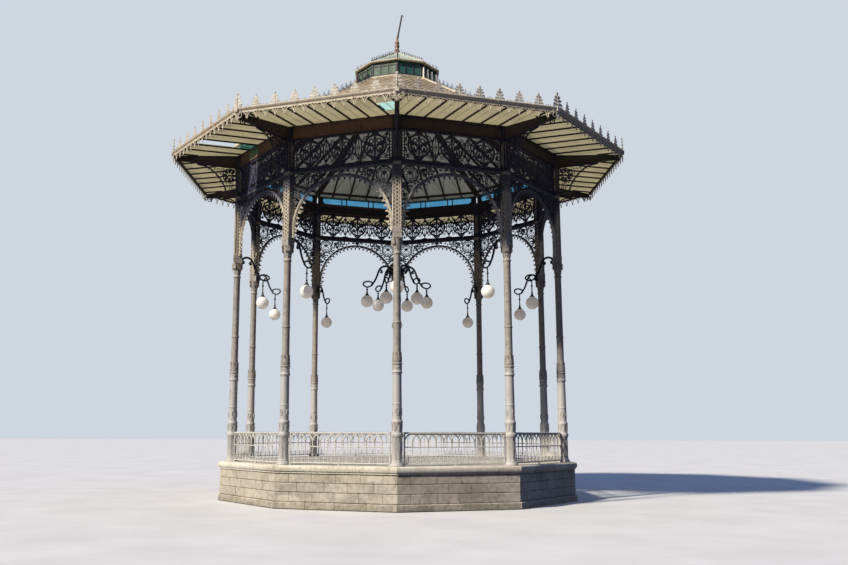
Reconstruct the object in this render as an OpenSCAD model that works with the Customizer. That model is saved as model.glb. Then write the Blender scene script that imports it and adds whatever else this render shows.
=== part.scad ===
// Ten-sided cast-iron park bandstand on a stone base.
// Origin: centre of the base's underside, on the ground. +Z up, millimetres.
// Column 1 stands on the -Y axis; columns and bays are numbered
// counter-clockwise seen from above.

/* [Plan] */
// Number of sides of the plan
sides = 10; // [10:1:10]
// Distance from the centre to the middle of each column
column_ring_r = 4400; // [4300:20:4500]
// Distance from the centre to the corners of the canopy
eaves_r = 6154; // [6100:10:6200]

/* [Base] */
// Height of the stone base up to the floor
floor_z = 950; // [900:10:980]
// Thickness of the coping stones
coping_t = 130; // [100:5:150]
// Distance from the centre to the corners of the coping
coping_r = 4730; // [4680:10:4800]

/* [Columns] */
// Radius of the shaft above the middle band
shaft_top_r = 82; // [78:1:86]
// Radius of the shaft below the middle band
shaft_low_r = 100; // [96:1:104]
// Height of the underside of the square cap block
cap_z = 6015; // [6000:5:6030]
// Width of the square post above the cap
post_w = 180; // [170:2:190]

/* [Arches and frieze] */
// Height of the underside of the arches at the crown
crown_z = 7624; // [7610:2:7630]
// Thickness of the arch castings
arch_t = 64; // [50:2:80]
// Underside of the rail between arches and frieze
frieze_z = 7827; // [7820:1:7834]
// Top of the frieze and underside of the ring beam
frieze_top_z = 8653; // [8640:1:8660]
// Top of the ring beam
beam_top_z = 8960; // [8955:1:8965]

/* [Canopy] */
// Fall of the canopy from the ring beam to the eaves
canopy_fall = 158; // [150:2:166]
// Thickness of the canopy boards
board_t = 22; // [18:1:26]
// Number of board widths along one side
boards = 8; // [8:1:8]

/* [Upper roof] */
// Height of the upper surface of the main roof at its eaves
roof_low_z = 9250; // [9245:1:9255]
// Height of the upper surface of the main roof at the lantern
roof_high_z = 11330; // [11325:1:11335]
// Distance from the centre to the eaves corners of the main roof
roof_low_r = 4532; // [4530:2:4540]
// Distance from the centre to the corners at the lantern
roof_high_r = 1180; // [1176:2:1184]
// Thickness of the roof covering
cover_t = 40; // [35:1:45]

/* [Lantern] */
// Height of the top of the lantern walls
lantern_top_z = 11764; // [11756:2:11772]
// Height of the tip of the lantern roof
lantern_tip_z = 12525; // [12510:5:12540]
// Radius of the lantern eaves
lantern_eaves_r = 1254; // [1240:2:1270]

/* [Lamps] */
// Diameter of the round lamp glasses
globe_d = 330; // [320:2:340]
// Height of the middle of the column lamps
lamp_z = 5022; // [5010:2:5034]
// Distance of the column lamps from the centre
lamp_r = 3718; // [3710:2:3726]

/* [Hidden] */
$fn = 64;

R = column_ring_r;
h18 = 180 / sides;
A = R * cos(h18);                 // middle of a bay from the centre
half_side = R * sin(h18);
Ae = eaves_r * cos(h18);
half_eave = eaves_r * sin(h18);
canopy_a = atan(canopy_fall / (Ae - A));
canopy_l = (Ae - A) / cos(canopy_a);
canopy_z = beam_top_z + 15;       // underside of the boards over the ring beam
Al = roof_low_r * cos(h18);
Ah = roof_high_r * cos(h18);
roof_a = atan((roof_high_z - roof_low_z) / (Al - Ah));
roof_l = (Al - Ah) / cos(roof_a);
arch_r = (half_side - post_w / 2) - 66;   // clear half width of the arch
iron_dark = [0.13, 0.14, 0.18];
iron_light = [0.72, 0.70, 0.66];
stone_c = [0.84, 0.82, 0.77];
board_c = [0.66, 0.61, 0.45];
glass_c = [0.45, 0.75, 0.80];

module at_corner(i) { rotate([0, 0, 36 * i]) translate([0, -R, 0]) children(); }
module at_bay(i) { rotate([0, 0, 36 * i + 18]) children(); }
module corners() { for (i = [0:9]) at_corner(i) children(); }
module bays() { for (i = [0:9]) at_bay(i) children(); }

// flat ten-sided plate with a corner towards -Y
module deca(r, h, z) { translate([0, 0, z]) rotate([0, 0, -90]) linear_extrude(h) circle(r = r, $fn = 10); }

// stands a drawing of the bay plane (x across, y up) at distance a from the
// centre, t thick
module upright(a, t) { translate([0, -a + t / 2, 0]) rotate([90, 0, 0]) linear_extrude(t) children(); }

// the part of a bay between its two mitre planes, less a joint of g on each side
module bay_wedge(z0, z1, g) {
  translate([0, 0, z0]) linear_extrude(z1 - z0)
    polygon([[0, -g / sin(h18)], [-8000 * tan(h18), -8000 - g / sin(h18)], [8000 * tan(h18), -8000 - g / sin(h18)]]);
}
module ring2(r, w) { difference() { circle(r = r); circle(r = r - w); } }

// ---------- base ----------
module plinth() { color(stone_c * 0.9) {
  deca(coping_r - 60, floor_z - coping_t - 40, 0);
  deca(coping_r - 20, 160, 0);
} }
module coping() { color(stone_c) difference() {
  union() {
    deca(coping_r, coping_t, floor_z - coping_t);
    deca(coping_r - 35, 40, floor_z - coping_t - 40);
  }
  deca(R - 330, 400, floor_z - coping_t - 100);
} }
module floor_slab() { color(stone_c * 0.95) deca(R - 331, coping_t + 40, floor_z - coping_t - 40); }

// ---------- columns ----------
module column_at(i) {
  color(iron_light) at_corner(i) {
    rotate_extrude($fn = 48) polygon([
      [0, floor_z], [152, floor_z], [152, floor_z + 50], [136, floor_z + 60],
      [118, floor_z + 75], [110, 1560], [118, 1575], [136, 1600], [136, 1640],
      [126, 1660], [118, 1680], [114, 1740], [114, 1850], [122, 1875],
      [126, 1900], [122, 1928], [110, 1945], [shaft_low_r + 4, 1990],
      [shaft_low_r - 3, 2940], [shaft_low_r + 2, 2960], [118, 2979], [118, 3010],
      [108, 3030], [106, 3140], [118, 3165], [118, 3192], [shaft_top_r + 12, 3215],
      [shaft_top_r + 6, 3260], [shaft_top_r + 3, 4075], [shaft_top_r + 14, 4088],
      [shaft_top_r + 14, 4112], [shaft_top_r + 2, 4125], [shaft_top_r - 1, 5650],
      [shaft_top_r + 15, 5668], [shaft_top_r + 15, 5698], [shaft_top_r, 5715],
      [shaft_top_r + 2, 5800], [92, 5851], [104, 5880], [104, 5925], [92, 5950],
      [96, 5980], [108, cap_z], [0, cap_z]]);
    translate([-112, -112, cap_z]) cube([224, 224, 100]);
    translate([-100, -100, cap_z + 99]) cube([200, 200, 26]);
    translate([-post_w / 2, -post_w / 2, cap_z + 120]) cube([post_w, post_w, beam_top_z - cap_z - 120]);
  }
}

// ---------- arches, one casting per bay ----------
module arch_2d() {
  w = half_side - post_w / 2 - 2;
  cz = crown_z - arch_r;
  difference() {
    translate([-w, cap_z + 127]) square([2 * w, frieze_z - cap_z - 127]);
    translate([0, cz]) circle(r = arch_r, $fn = 72);
    translate([-arch_r, cap_z]) square([2 * arch_r, cz - cap_z]);
  }
}
module arch_at(i) {
  w = half_side - post_w / 2 - 2;
  cz = crown_z - arch_r;
  color(iron_dark) at_bay(i) {
    upright(A, 26) difference() {
      arch_2d();
      for (s = [-1, 1]) {
        translate([s * 985, 7545]) circle(r = 172);
        translate([s * 1140, 7175]) circle(r = 62);
        translate([s * 640, 7705]) circle(r = 66);
      }
    }
    upright(A, arch_t) intersection() {
      arch_2d();
      union() {
        translate([0, cz]) ring2(arch_r + 58, 70);
        for (s = [-1, 1]) translate([s * (arch_r + 28) - 30, cap_z]) square([60, cz - cap_z]);
        translate([-w, frieze_z - 46]) square([2 * w, 46]);
      }
    }
  }
}

// ---------- frieze ----------
module frieze() { color(iron_dark * 0.9) bays() {
  w = half_side - post_w / 2 - 2;
  z0 = frieze_z + 2; z1 = frieze_top_z - 2;
  zm = (z0 + 88 + z1) / 2;
  upright(A, 60) translate([-w, z0]) square([2 * w, 88]);
  upright(A, 36) {
    translate([-w, z1 - 40]) square([2 * w, 40]);
    translate([-w, z0]) square([40, z1 - z0]);
    translate([w - 40, z0]) square([40, z1 - z0]);
    translate([-w, zm - 12]) square([2 * w, 24]);
    for (x = [-880, 0, 880]) for (s = [-1, 1]) translate([x, zm + s * 172]) ring2(180, 26);
    for (x = [-440, 440]) for (s = [-1, 1]) translate([x, zm + s * 172]) ring2(180, 26);
    for (x = [-660, -220, 220, 660]) translate([x - 12, z0]) square([24, z1 - z0]);
  }
} }

// ---------- ring beam, one length per bay ----------
module ring_beam() { color([0.30, 0.22, 0.17]) bays()
  translate([-half_side + post_w / 2 + 2, -A - 40, frieze_top_z])
    cube([2 * half_side - post_w - 4, 80, beam_top_z - frieze_top_z]);
}

// ---------- railing ----------
module railing() { color(iron_light) bays() {
  w = half_side - 160;
  z0 = floor_z; z1 = 1684; zs = 1466;
  p = (2 * w - 18) / 13;          // spacing of the bars
  upright(A, 34) {
    translate([-w, z1 - 34]) square([2 * w, 34]);
    translate([-w, 1350]) square([2 * w, 22]);
    translate([-w, z0 + 40]) square([2 * w, 26]);
  }
  upright(A, 20) {
    for (k = [0:13]) translate([-w + k * p, z0 + 2]) square([18, zs - z0]);
    // interlaced arches, each two spaces wide
    for (k = [1:12]) translate([-w + 9 + k * p, zs]) intersection() {
      ring2(p + 8, 16);
      translate([-p - 20, 0]) square([2 * p + 40, p + 20]);
    }
  }
} }

// ---------- canopy ----------
// plane under the boards of one side: x across, y outwards, z up from it
module canopy_plane() { translate([0, -A, canopy_z]) rotate([canopy_a, 0, 0]) mirror([0, 1, 0]) children(); }
module canopy_trapezoid(y0, y1, m) {
  polygon([
    [-(half_side + (half_eave - half_side) * y0 / canopy_l) + m, y0],
    [(half_side + (half_eave - half_side) * y0 / canopy_l) - m, y0],
    [(half_side + (half_eave - half_side) * y1 / canopy_l) - m, y1],
    [-(half_side + (half_eave - half_side) * y1 / canopy_l) + m, y1]]);
}
rib_p = 2 * half_eave / boards;
module canopy_ribs() { color([0.16, 0.14, 0.13]) bays() canopy_plane() {
  intersection() {
    translate([0, 0, -38]) linear_extrude(36) canopy_trapezoid(46, canopy_l - 12, 62);
    union() {
      for (k = [0:boards - 1]) translate([-half_eave + (k + 0.5) * rib_p - 22, 0, -38]) cube([44, canopy_l, 38]);
      translate([-3000, 46, -38]) cube([6000, 40, 38]);
      translate([-3000, canopy_l - 60, -38]) cube([6000, 50, 38]);
    }
  }
} }
module canopy_boards() { color(board_c) bays_boards(); }
module bays_boards() {
  for (i = [0:9]) at_bay(i) canopy_plane() difference() {
    linear_extrude(board_t) canopy_trapezoid(42, canopy_l - 8, 12);
    // the board that has fallen out on the side towards column 9
    if (i == 8) translate([-1.5 * rib_p + 22, 430, -10]) cube([rib_p - 44, canopy_l, 60]);
    // the corner board that has gone beside column 1
    if (i == 9) translate([2.5 * rib_p + 22, 360, -10]) cube([900, 700, 60]);
  }
}
module canopy_beams() { color([0.20, 0.16, 0.15]) for (i = [0:9]) rotate([0, 0, 36 * i])
  upright_radial(84) polygon([
    [R + post_w / 2 + 2, beam_top_z - 330], [R + post_w / 2 + 2, beam_top_z - 2],
    [eaves_r - 70, beam_top_z - canopy_fall - 2 + 4], [eaves_r - 70, beam_top_z - canopy_fall - 110],
    [R + 1100, beam_top_z - 290]]);
}
// a drawing in the plane of a column and the centre: x outwards, y up
module upright_radial(t) { rotate([0, 0, -90]) rotate([90, 0, 0]) translate([0, 0, -t / 2]) linear_extrude(t) children(); }
module canopy_brackets() { color(iron_dark) for (i = [0:9]) rotate([0, 0, 36 * i])
  upright_radial(30) difference() {
    translate([R + post_w / 2 + 2, 7900]) square([1080, beam_top_z - 334 - 7900]);
    translate([R + post_w / 2 + 1240, 7700]) circle(r = 1000, $fn = 360);
    translate([R + post_w / 2 + 1060, 7600]) square([400, 1200]);
    translate([R + 200, 8510]) circle(r = 62);
    translate([R + 190, 8320]) circle(r = 46);
    translate([R + 380, 8560]) circle(r = 50);
  }
}

// ---------- eaves ----------
module gutter() { color([0.70, 0.62, 0.50]) bays() intersection() {
  translate([3000, 0, 0]) rotate([0, -90, 0]) linear_extrude(6000)
    polygon([[8794, -Ae + 4], [8804, -Ae - 12], [8820, -Ae - 18], [8840, -Ae - 26], [8862, -Ae - 46],
      [8876, -Ae - 50], [8882, -Ae - 56], [8900, -Ae - 56], [8900, -Ae + 4]]);
  bay_wedge(8700, 9000, 30);
} }
module corner_finials() { color([0.66, 0.60, 0.52]) for (i = [0:9]) rotate([0, 0, 36 * i])
  translate([0, -eaves_r - 4, 0]) {
    translate([-50, -50, 8776]) cube([100, 96, 142]);
    translate([0, 6, 0]) rotate([90, 0, 0]) linear_extrude(24) {
      translate([-45, 8915]) square([90, 30]);
      translate([0, 8990]) circle(r = 62);
      translate([0, 9100]) circle(r = 78);
      translate([0, 9205]) circle(r = 54);
      translate([-12, 9230]) square([24, 60]);
    }
  }
}
module eaves_cresting() { color([0.66, 0.60, 0.52]) bays()
  translate([0, -Ae - 14, 0]) rotate([90, 0, 0]) linear_extrude(16) {
    translate([-half_eave + 110, 8901]) square([2 * half_eave - 220, 18]);
    for (k = [1:boards - 1]) translate([-half_eave + k * rib_p, 0]) {
      translate([0, 8962]) circle(r = 52);
      translate([0, 9050]) circle(r = 72);
      translate([0, 9120]) circle(r = 34);
    }
  }
}
module valance() { color([0.62, 0.56, 0.46]) bays()
  translate([0, -Ae - 6, 0]) rotate([90, 0, 0]) linear_extrude(12) {
    w = half_eave - 90;
    translate([-w, 8768]) square([2 * w, 24]);
    for (k = [0:15]) translate([-w + (k + 0.5) * 2 * w / 16, 8680]) difference() {
      circle(r = 112);
      circle(r = 92);
      translate([-120, -124]) square([240, 120]);
    }
    for (k = [1:15]) translate([-w + k * 2 * w / 16 - 9, 8614]) square([18, 100]);
  }
}

// ---------- clerestory ----------
// long opening with round ends, drawn with short straight facets
module slot2(x0, x1, z0, z1) {
  r = (z1 - z0) / 2;
  polygon([for (a = [-90:22.5:90]) [x1 - r + r * cos(a), z0 + r + r * sin(a)],
    for (a = [90:22.5:270]) [x0 + r + r * cos(a), z0 + r + r * sin(a)]]);
}
cl_z0 = beam_top_z + 5; cl_z1 = cl_z0 + 241;
module clerestory_frame() { color(iron_dark) bays() upright(A + 5, 46) difference() {
  w = half_side - 30;
  translate([-w, cl_z0]) square([2 * w, cl_z1 - cl_z0]);
  slot2(-1170, 1170, cl_z0 + 12, cl_z1 - 14);
}
  color(iron_dark) bays() for (x = [-535, -375, 375, 535]) upright(A + 5, 38) translate([x - 13, cl_z0 + 6]) square([26, cl_z1 - cl_z0 - 14]);
}
module clerestory_glass() { color(glass_c) bays() upright(A + 5, 8)
  slot2(-1170, 1170, cl_z0 + 12, cl_z1 - 14);
}

// ---------- main roof ----------
// plane of the upper surface of one side: x across, y up the slope
module roof_plane() { translate([0, -Al, roof_low_z]) rotate([roof_a, 0, 0]) children(); }
function roof_w(y) = roof_low_r * sin(h18) + (roof_high_r - roof_low_r) * sin(h18) * y / roof_l;
module roof_trapezoid(y0, y1, m) {
  polygon([[-roof_w(y0) + m, y0], [roof_w(y0) - m, y0], [roof_w(y1) - m, y1], [-roof_w(y1) + m, y1]]);
}
module roof_panels() { color(board_c) bays() roof_plane()
  translate([0, 0, -cover_t]) linear_extrude(cover_t) roof_trapezoid(0, roof_l - 6, 14);
}
rib_d = 70;                       // depth of the roof ribs
module roof_ribs() { color([0.15, 0.13, 0.13]) bays() roof_plane() intersection() {
    translate([0, 0, -cover_t - rib_d - 9]) linear_extrude(rib_d + 15) roof_trapezoid(60, roof_l - 30, 40);
    union() {
      for (x = [-840, -280, 280, 840]) translate([x - 20, 0, -cover_t - rib_d]) cube([40, roof_l, rib_d - 2]);
      translate([-2000, 190, -cover_t - rib_d]) cube([4000, 44, rib_d - 2]);
      translate([-2000, roof_l - 90, -cover_t - rib_d]) cube([4000, 82, rib_d - 2]);
      // outer rafters that follow the hips
      for (s = [-1, 1]) hip_rafter(s);
    }
  }
}
module hip_rafter(s) { translate([0, 0, -cover_t - rib_d]) linear_extrude(rib_d - 2)
  polygon([[s * (roof_w(0) - 22), 0], [s * (roof_w(0) - 100), 0], [s * (roof_w(roof_l) - 100), roof_l], [s * (roof_w(roof_l) - 22), roof_l]]);
}
hip_dz = roof_high_z - roof_low_z;
hip_dr = roof_low_r - roof_high_r;
module hip_cresting() { color([0.14, 0.13, 0.13]) for (i = [0:9]) rotate([0, 0, 36 * i])
  upright_radial(20) {
    polygon([[roof_low_r - 60, roof_low_z + 10], [roof_high_r + 130, roof_high_z - 60],
      [roof_high_r + 130, roof_high_z + 5], [roof_low_r - 60, roof_low_z + 75]]);
    for (k = [0:17]) translate([roof_low_r - 120 - k * (hip_dr - 330) / 17, roof_low_z + 60 + 40 + k * (hip_dz - 216) / 17])
      polygon([[-32, -46], [32, -46], [16, 10], [0, 100], [-16, 10]]);
  }
}

// ---------- lantern ----------
module lantern_curb() { color(stone_c) difference() {
  union() {
    deca(roof_high_r + 30, 60, roof_high_z - 20);
    deca(roof_high_r + 2, 130, roof_high_z - 110);
  }
  deca(roof_high_r - 80, 400, roof_high_z - 200);
} }
ln_z0 = roof_high_z + 42;
module lantern_frame() { color(iron_dark) bays() intersection() {
  upright(roof_high_r * cos(h18) - 20, 44) {
    w = roof_high_r * sin(h18) + 40;
    difference() {
      translate([-w, ln_z0]) square([2 * w, lantern_top_z - ln_z0]);
      for (s = [0:2]) translate([-w + 66 + s * (2 * w - 132 + 26) / 3, ln_z0 + 34]) square([(2 * w - 132 - 52) / 3, lantern_top_z - ln_z0 - 50]);
    }
  }
  bay_wedge(ln_z0 - 10, lantern_top_z + 10, 4);
} }
module lantern_glass() { color([0.10, 0.30, 0.28]) bays()
  upright(roof_high_r * cos(h18) - 20, 8) translate([-roof_high_r * sin(h18) + 40, ln_z0 + 34]) square([2 * roof_high_r * sin(h18) - 80, lantern_top_z - ln_z0 - 50]);
}
Aln = lantern_eaves_r * cos(h18);
ln_e = lantern_top_z + 36;        // upper side of the lantern eaves
ln_a = atan((lantern_tip_z - ln_e) / Aln);
ln_l = Aln / cos(ln_a);
ln_w = lantern_eaves_r * sin(h18);
ln_k = (lantern_tip_z - ln_e) / lantern_eaves_r;   // rise of the lantern hips
module lantern_roof() { color([0.62, 0.62, 0.50]) {
  difference() {
    deca(lantern_eaves_r, 36, lantern_top_z);
    deca(1000, 100, lantern_top_z - 30);
  }
  bays() translate([0, -Aln, ln_e]) rotate([ln_a, 0, 0]) translate([0, 0, -28]) linear_extrude(28)
    polygon([[-ln_w * (1 - 10 / ln_l) + 13, 10], [ln_w * (1 - 10 / ln_l) - 13, 10],
      [ln_w * 120 / ln_l - 13, ln_l - 120], [-ln_w * 120 / ln_l + 13, ln_l - 120]]);
} }
module lantern_cresting() { color([0.14, 0.13, 0.13]) for (i = [0:9]) rotate([0, 0, 36 * i])
  upright_radial(14) {
    polygon([[lantern_eaves_r - 26, ln_e + 4], [150, lantern_tip_z - 150 * ln_k - 12],
      [150, lantern_tip_z - 150 * ln_k + 38], [lantern_eaves_r - 26, ln_e + 50]]);
    for (k = [0:8]) translate([lantern_eaves_r - 80 - k * 115, ln_e + (80 + k * 115) * ln_k + 30])
      polygon([[-24, -22], [24, -22], [12, 30], [0, 104], [-12, 30]]);
  }
}

// ---------- finial ----------
module finial() {
  color([0.62, 0.48, 0.42]) translate([0, 0, lantern_tip_z - 75]) rotate_extrude($fn = 32)
    polygon([[0, 0], [104, 0], [104, 26], [72, 60], [60, 120], [54, 314], [66, 344], [66, 384], [44, 424], [36, 544], [0, 544]]);
  color([0.12, 0.12, 0.14]) translate([0, 0, lantern_top_z + 1110]) rotate([0, 10, 0]) {
    cylinder(r = 26, h = 820, $fn = 24);
    translate([-20, -14, 792]) cube([76, 28, 28]);
  }
}

// ---------- lamps ----------
// swept arm of one lamp in its upright plane, x towards the middle, y up
module flat_loop(rx, ry, t) { difference() {
  polygon([for (a = [0:15:345]) [rx * cos(a), ry * sin(a)]]);
  polygon([for (a = [0:15:345]) [(rx - t) * cos(a), (ry - t) * sin(a)]]);
} }
module swept_arm_2d(x0) {
  // bow that springs from the capital or the hub
  intersection() { translate([250, 6050]) ring2(190, 48); translate([x0, 6080]) square([500 - x0, 200]); }
  // curls under both ends of the bow
  translate([132, 6066]) ring2(48, 26);
  translate([354, 6042]) ring2(60, 28);
  // falling limb
  polygon([[392, 6084], [437, 6084], [516, 5890], [580, 5768], [650, 5704], [612, 5656], [538, 5740], [470, 5880]]);
  // flattened loop at the outer end, from which the lamp hangs
  translate([715, 5688]) flat_loop(140, 96, 36);
}
module lamp_arms() { color(iron_dark) for (i = [0:9]) rotate([0, 0, 36 * i]) {
  translate([0, -R, 0]) rotate([0, 0, 90]) rotate([90, 0, 0]) translate([0, 0, -21]) linear_extrude(42) swept_arm_2d(100);
  translate([0, -lamp_r, lamp_z + globe_d / 2 - 14]) rotate_extrude($fn = 32)
    polygon([[0, 0], [92, 0], [88, 22], [40, 62], [20, 110], [16, 130], [16, 428], [0, 428]]);
} }
module lamp_globes() { color([0.93, 0.92, 0.88]) for (i = [0:9]) rotate([0, 0, 36 * i])
  translate([0, -lamp_r, lamp_z]) difference() { sphere(d = globe_d, $fn = 48); translate([0, 0, globe_d / 2 - 12]) cylinder(r = 100, h = 40); }
}
ch_r = 836;
ch_z = 5217;
ch_a = [-20, 40, 100, 160, 220, 280];
module chandelier() { color(iron_dark) {
  translate([0, 0, 6040]) rotate_extrude($fn = 40)
    polygon([[0, -230], [40, -200], [70, -110], [150, -40], [180, 20], [160, 90], [60, 140], [34, 220], [24, 280], [24, 6412], [0, 6412]]);
  for (a = ch_a) rotate([0, 0, a]) {
    rotate([0, 0, -90]) rotate([90, 0, 0]) translate([100, 0, -21]) linear_extrude(42) swept_arm_2d(50);
    translate([0, -ch_r, ch_z + globe_d / 2 - 14]) rotate_extrude($fn = 32)
      polygon([[0, 0], [92, 0], [88, 22], [40, 62], [20, 110], [16, 130], [16, 236], [0, 236]]);
  }
} }
module chandelier_globes() { color([0.93, 0.92, 0.88]) for (a = ch_a) rotate([0, 0, a])
  translate([0, -ch_r, ch_z]) difference() { sphere(d = globe_d, $fn = 48); translate([0, 0, globe_d / 2 - 12]) cylinder(r = 100, h = 40); }
}

plinth();
coping();
floor_slab();  // floor
column_at(0);  // column_01
column_at(1);  // column_02
column_at(2);  // column_03
column_at(3);  // column_04
column_at(4);  // column_05
column_at(5);  // column_06
column_at(6);  // column_07
column_at(7);  // column_08
column_at(8);  // column_09
column_at(9);  // column_10
arch_at(0);  // arch_01
arch_at(1);  // arch_02
arch_at(2);  // arch_03
arch_at(3);  // arch_04
arch_at(4);  // arch_05
arch_at(5);  // arch_06
arch_at(6);  // arch_07
arch_at(7);  // arch_08
arch_at(8);  // arch_09
arch_at(9);  // arch_10
railing();
frieze();
ring_beam();
canopy_beams();
canopy_brackets();
canopy_ribs();
canopy_boards();
gutter();
union() { eaves_cresting(); corner_finials(); }
valance();
clerestory_frame();
union() { clerestory_glass(); lantern_glass(); }  // tinted_glass
roof_ribs();
roof_panels();
union() { hip_cresting(); lantern_cresting(); }  // roof_cresting
lantern_curb();
lantern_frame();
lantern_roof();
finial();
lamp_arms();
union() { lamp_globes(); chandelier_globes(); }
chandelier();
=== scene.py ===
import math

import bpy
import numpy as np
from mathutils import Matrix, Vector
from mathutils.geometry import tessellate_polygon


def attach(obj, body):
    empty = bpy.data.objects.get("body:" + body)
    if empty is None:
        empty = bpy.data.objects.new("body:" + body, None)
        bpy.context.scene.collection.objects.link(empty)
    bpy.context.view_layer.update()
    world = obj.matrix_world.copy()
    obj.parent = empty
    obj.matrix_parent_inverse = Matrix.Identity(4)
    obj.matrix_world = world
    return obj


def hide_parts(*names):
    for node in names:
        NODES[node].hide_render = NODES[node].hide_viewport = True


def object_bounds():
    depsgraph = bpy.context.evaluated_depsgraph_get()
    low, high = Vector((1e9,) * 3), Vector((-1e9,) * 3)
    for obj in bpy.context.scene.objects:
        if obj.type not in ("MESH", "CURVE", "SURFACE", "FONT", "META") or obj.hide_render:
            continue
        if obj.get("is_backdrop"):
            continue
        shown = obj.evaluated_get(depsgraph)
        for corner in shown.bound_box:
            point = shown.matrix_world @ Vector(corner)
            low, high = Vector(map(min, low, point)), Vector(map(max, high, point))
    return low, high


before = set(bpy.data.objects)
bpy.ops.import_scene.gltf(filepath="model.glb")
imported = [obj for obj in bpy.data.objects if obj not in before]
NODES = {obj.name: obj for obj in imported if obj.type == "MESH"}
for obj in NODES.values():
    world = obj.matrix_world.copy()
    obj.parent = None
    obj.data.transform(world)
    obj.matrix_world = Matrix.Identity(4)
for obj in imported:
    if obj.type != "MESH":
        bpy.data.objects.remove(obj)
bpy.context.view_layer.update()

PI = math.pi

# ------------------------------------------------------------------ sizes (metres)
H = math.radians(18)
S18, C18, T18 = math.sin(H), math.cos(H), math.tan(H)
R = 4.400                       # column ring
A = R * C18                     # middle of a bay
HS = R * S18                    # half a bay
RE = 6.154
AE = RE * C18
HE = RE * S18
FLOOR = 0.950
CAP = 6.015
POST = 0.180
FRZ0, FRZ1 = 7.827, 8.653
BEAM = 8.960
FALL = 0.158
CAN_A = math.atan(FALL / (AE - A))
CAN_L = (AE - A) / math.cos(CAN_A)
CAN_Z = BEAM + 0.015
RIB_P = 2 * HE / 8
RLZ, RHZ, RLR, RHR = 9.250, 11.330, 4.532, 1.180
AL, AH = RLR * C18, RHR * C18
ROOF_A = math.atan((RHZ - RLZ) / (AL - AH))
ROOF_L = (AL - AH) / math.cos(ROOF_A)
ARCH_R = (HS - POST / 2) - 0.066
ARCH_Z = 7.624 - ARCH_R
LAMP_R, LAMP_Z, GLOBE = 3.718, 5.022, 0.165
CH_R, CH_Z = 0.836, 5.217
CH_A = [-20, 40, 100, 160, 220, 280]
LTOP = 11.764
LER = 1.254
LE, LTIP = LTOP + 0.036, 12.525
LK = (LTIP - LE) / LER
LA = math.atan((LTIP - LE) / (LER * C18))
LL = LER * C18 / math.cos(LA)


# ------------------------------------------------------------------ mesh builder
class Mesh:
    """Vertices and faces of closed parts, each turned so that its faces look outwards."""

    def __init__(s):
        s.V, s.L, s.S, s.M, s.n = [], [], [], [], 0
        s.k = 1.0                   # widens every scroll and leaf of a casting

    def add(s, v, *faces, m=0):
        v = np.asarray(v, float).reshape(-1, 3)
        fa = [np.asarray(f, np.int64).reshape(len(f), -1) for f in faces if len(f)]
        c = v.mean(0)
        w = v - c
        vol = 0.0
        for f in fa:
            a = w[f[:, 0]]
            for i in range(1, f.shape[1] - 1):
                vol += float(np.einsum("ij,ij->", a, np.cross(w[f[:, i]], w[f[:, i + 1]])))
        for f in fa:
            g = f[:, ::-1] if vol < 0 else f
            s.L.append((g + s.n).ravel())
            s.S.append(np.full(len(g), g.shape[1]))
            s.M.append(np.full(len(g), m))
        s.V.append(v)
        s.n += len(v)

    def arrays(s):
        return np.concatenate(s.V), np.concatenate(s.L), np.concatenate(s.S), np.concatenate(s.M)

    def join(s, other, mat=None, m=None):
        """Adds a copy of other, moved by the 3x4 array mat."""
        v, l, z, mm = other.arrays()
        if mat is not None:
            mat = np.asarray(mat, float)
            v = v @ mat[:, :3].T + mat[:, 3]
        s.V.append(v)
        s.L.append(l + s.n)
        s.S.append(z)
        s.M.append(mm if m is None else np.full(len(mm), m))
        s.n += len(v)


def turn(deg, shift=(0, 0, 0)):
    c, s_ = math.cos(math.radians(deg)), math.sin(math.radians(deg))
    return np.array([[c, -s_, 0, shift[0]], [s_, c, 0, shift[1]], [0, 0, 1, shift[2]]])


def around(src, first=0.0, n=10, step=36.0):
    out = Mesh()
    for i in range(n):
        out.join(src, turn(first + i * step))
    return out


MADE = {}


def piece(name, mesh, mats, nodes=(), sharp=38):
    v, l, z, mi = mesh.arrays()
    me = bpy.data.meshes.new(name)
    me.vertices.add(len(v))
    me.vertices.foreach_set("co", v.astype(np.float32).ravel())
    me.loops.add(len(l))
    me.loops.foreach_set("vertex_index", l.astype(np.int32))
    me.polygons.add(len(z))
    me.polygons.foreach_set("loop_start", np.r_[0, np.cumsum(z)[:-1]].astype(np.int32))
    me.polygons.foreach_set("material_index", mi.astype(np.int32))
    me.polygons.foreach_set("use_smooth", np.ones(len(z), bool))
    me.update(calc_edges=True)
    me.validate()
    me.set_sharp_from_angle(angle=math.radians(sharp))
    for m in mats if isinstance(mats, (list, tuple)) else [mats]:
        me.materials.append(m)
    ob = bpy.data.objects.new(name, me)
    bpy.context.scene.collection.objects.link(ob)
    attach(ob, "root")
    if nodes:
        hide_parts(*nodes)
    MADE[name] = int((z - 2).sum())
    return ob


# ------------------------------------------------------------------ planes that drawings stand in
def mp_bay(a0=A, o=0.0):
    return lambda a, b, t: np.stack([a, -(a0 + o + t), b], -1)


def mp_rad(x0=0.0):
    return lambda a, b, t: np.stack([x0 + t, -a, b], -1)


def mp_aff(o, u, v, w):
    o, u, v, w = (np.array(k, float) for k in (o, u, v, w))
    return lambda a, b, t: o + a[..., None] * u + b[..., None] * v + t[..., None] * w


SECTIONS = {
    "hex": (np.array([-.5, -.28, .28, .5, .28, -.28]), np.array([0, .5, .5, 0, -.5, -.5])),
    "dia": (np.array([-.5, 0, .5, 0]), np.array([0, .5, 0, -.5])),
    "box": (np.array([-.5, .5, .5, -.5]), np.array([.5, .5, -.5, -.5])),
    "cham": (np.array([-.5, -.36, .36, .5, .5, .36, -.36, -.5]), np.array([.38, .5, .5, .38, -.38, -.5, -.5, -.38])),
}


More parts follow.
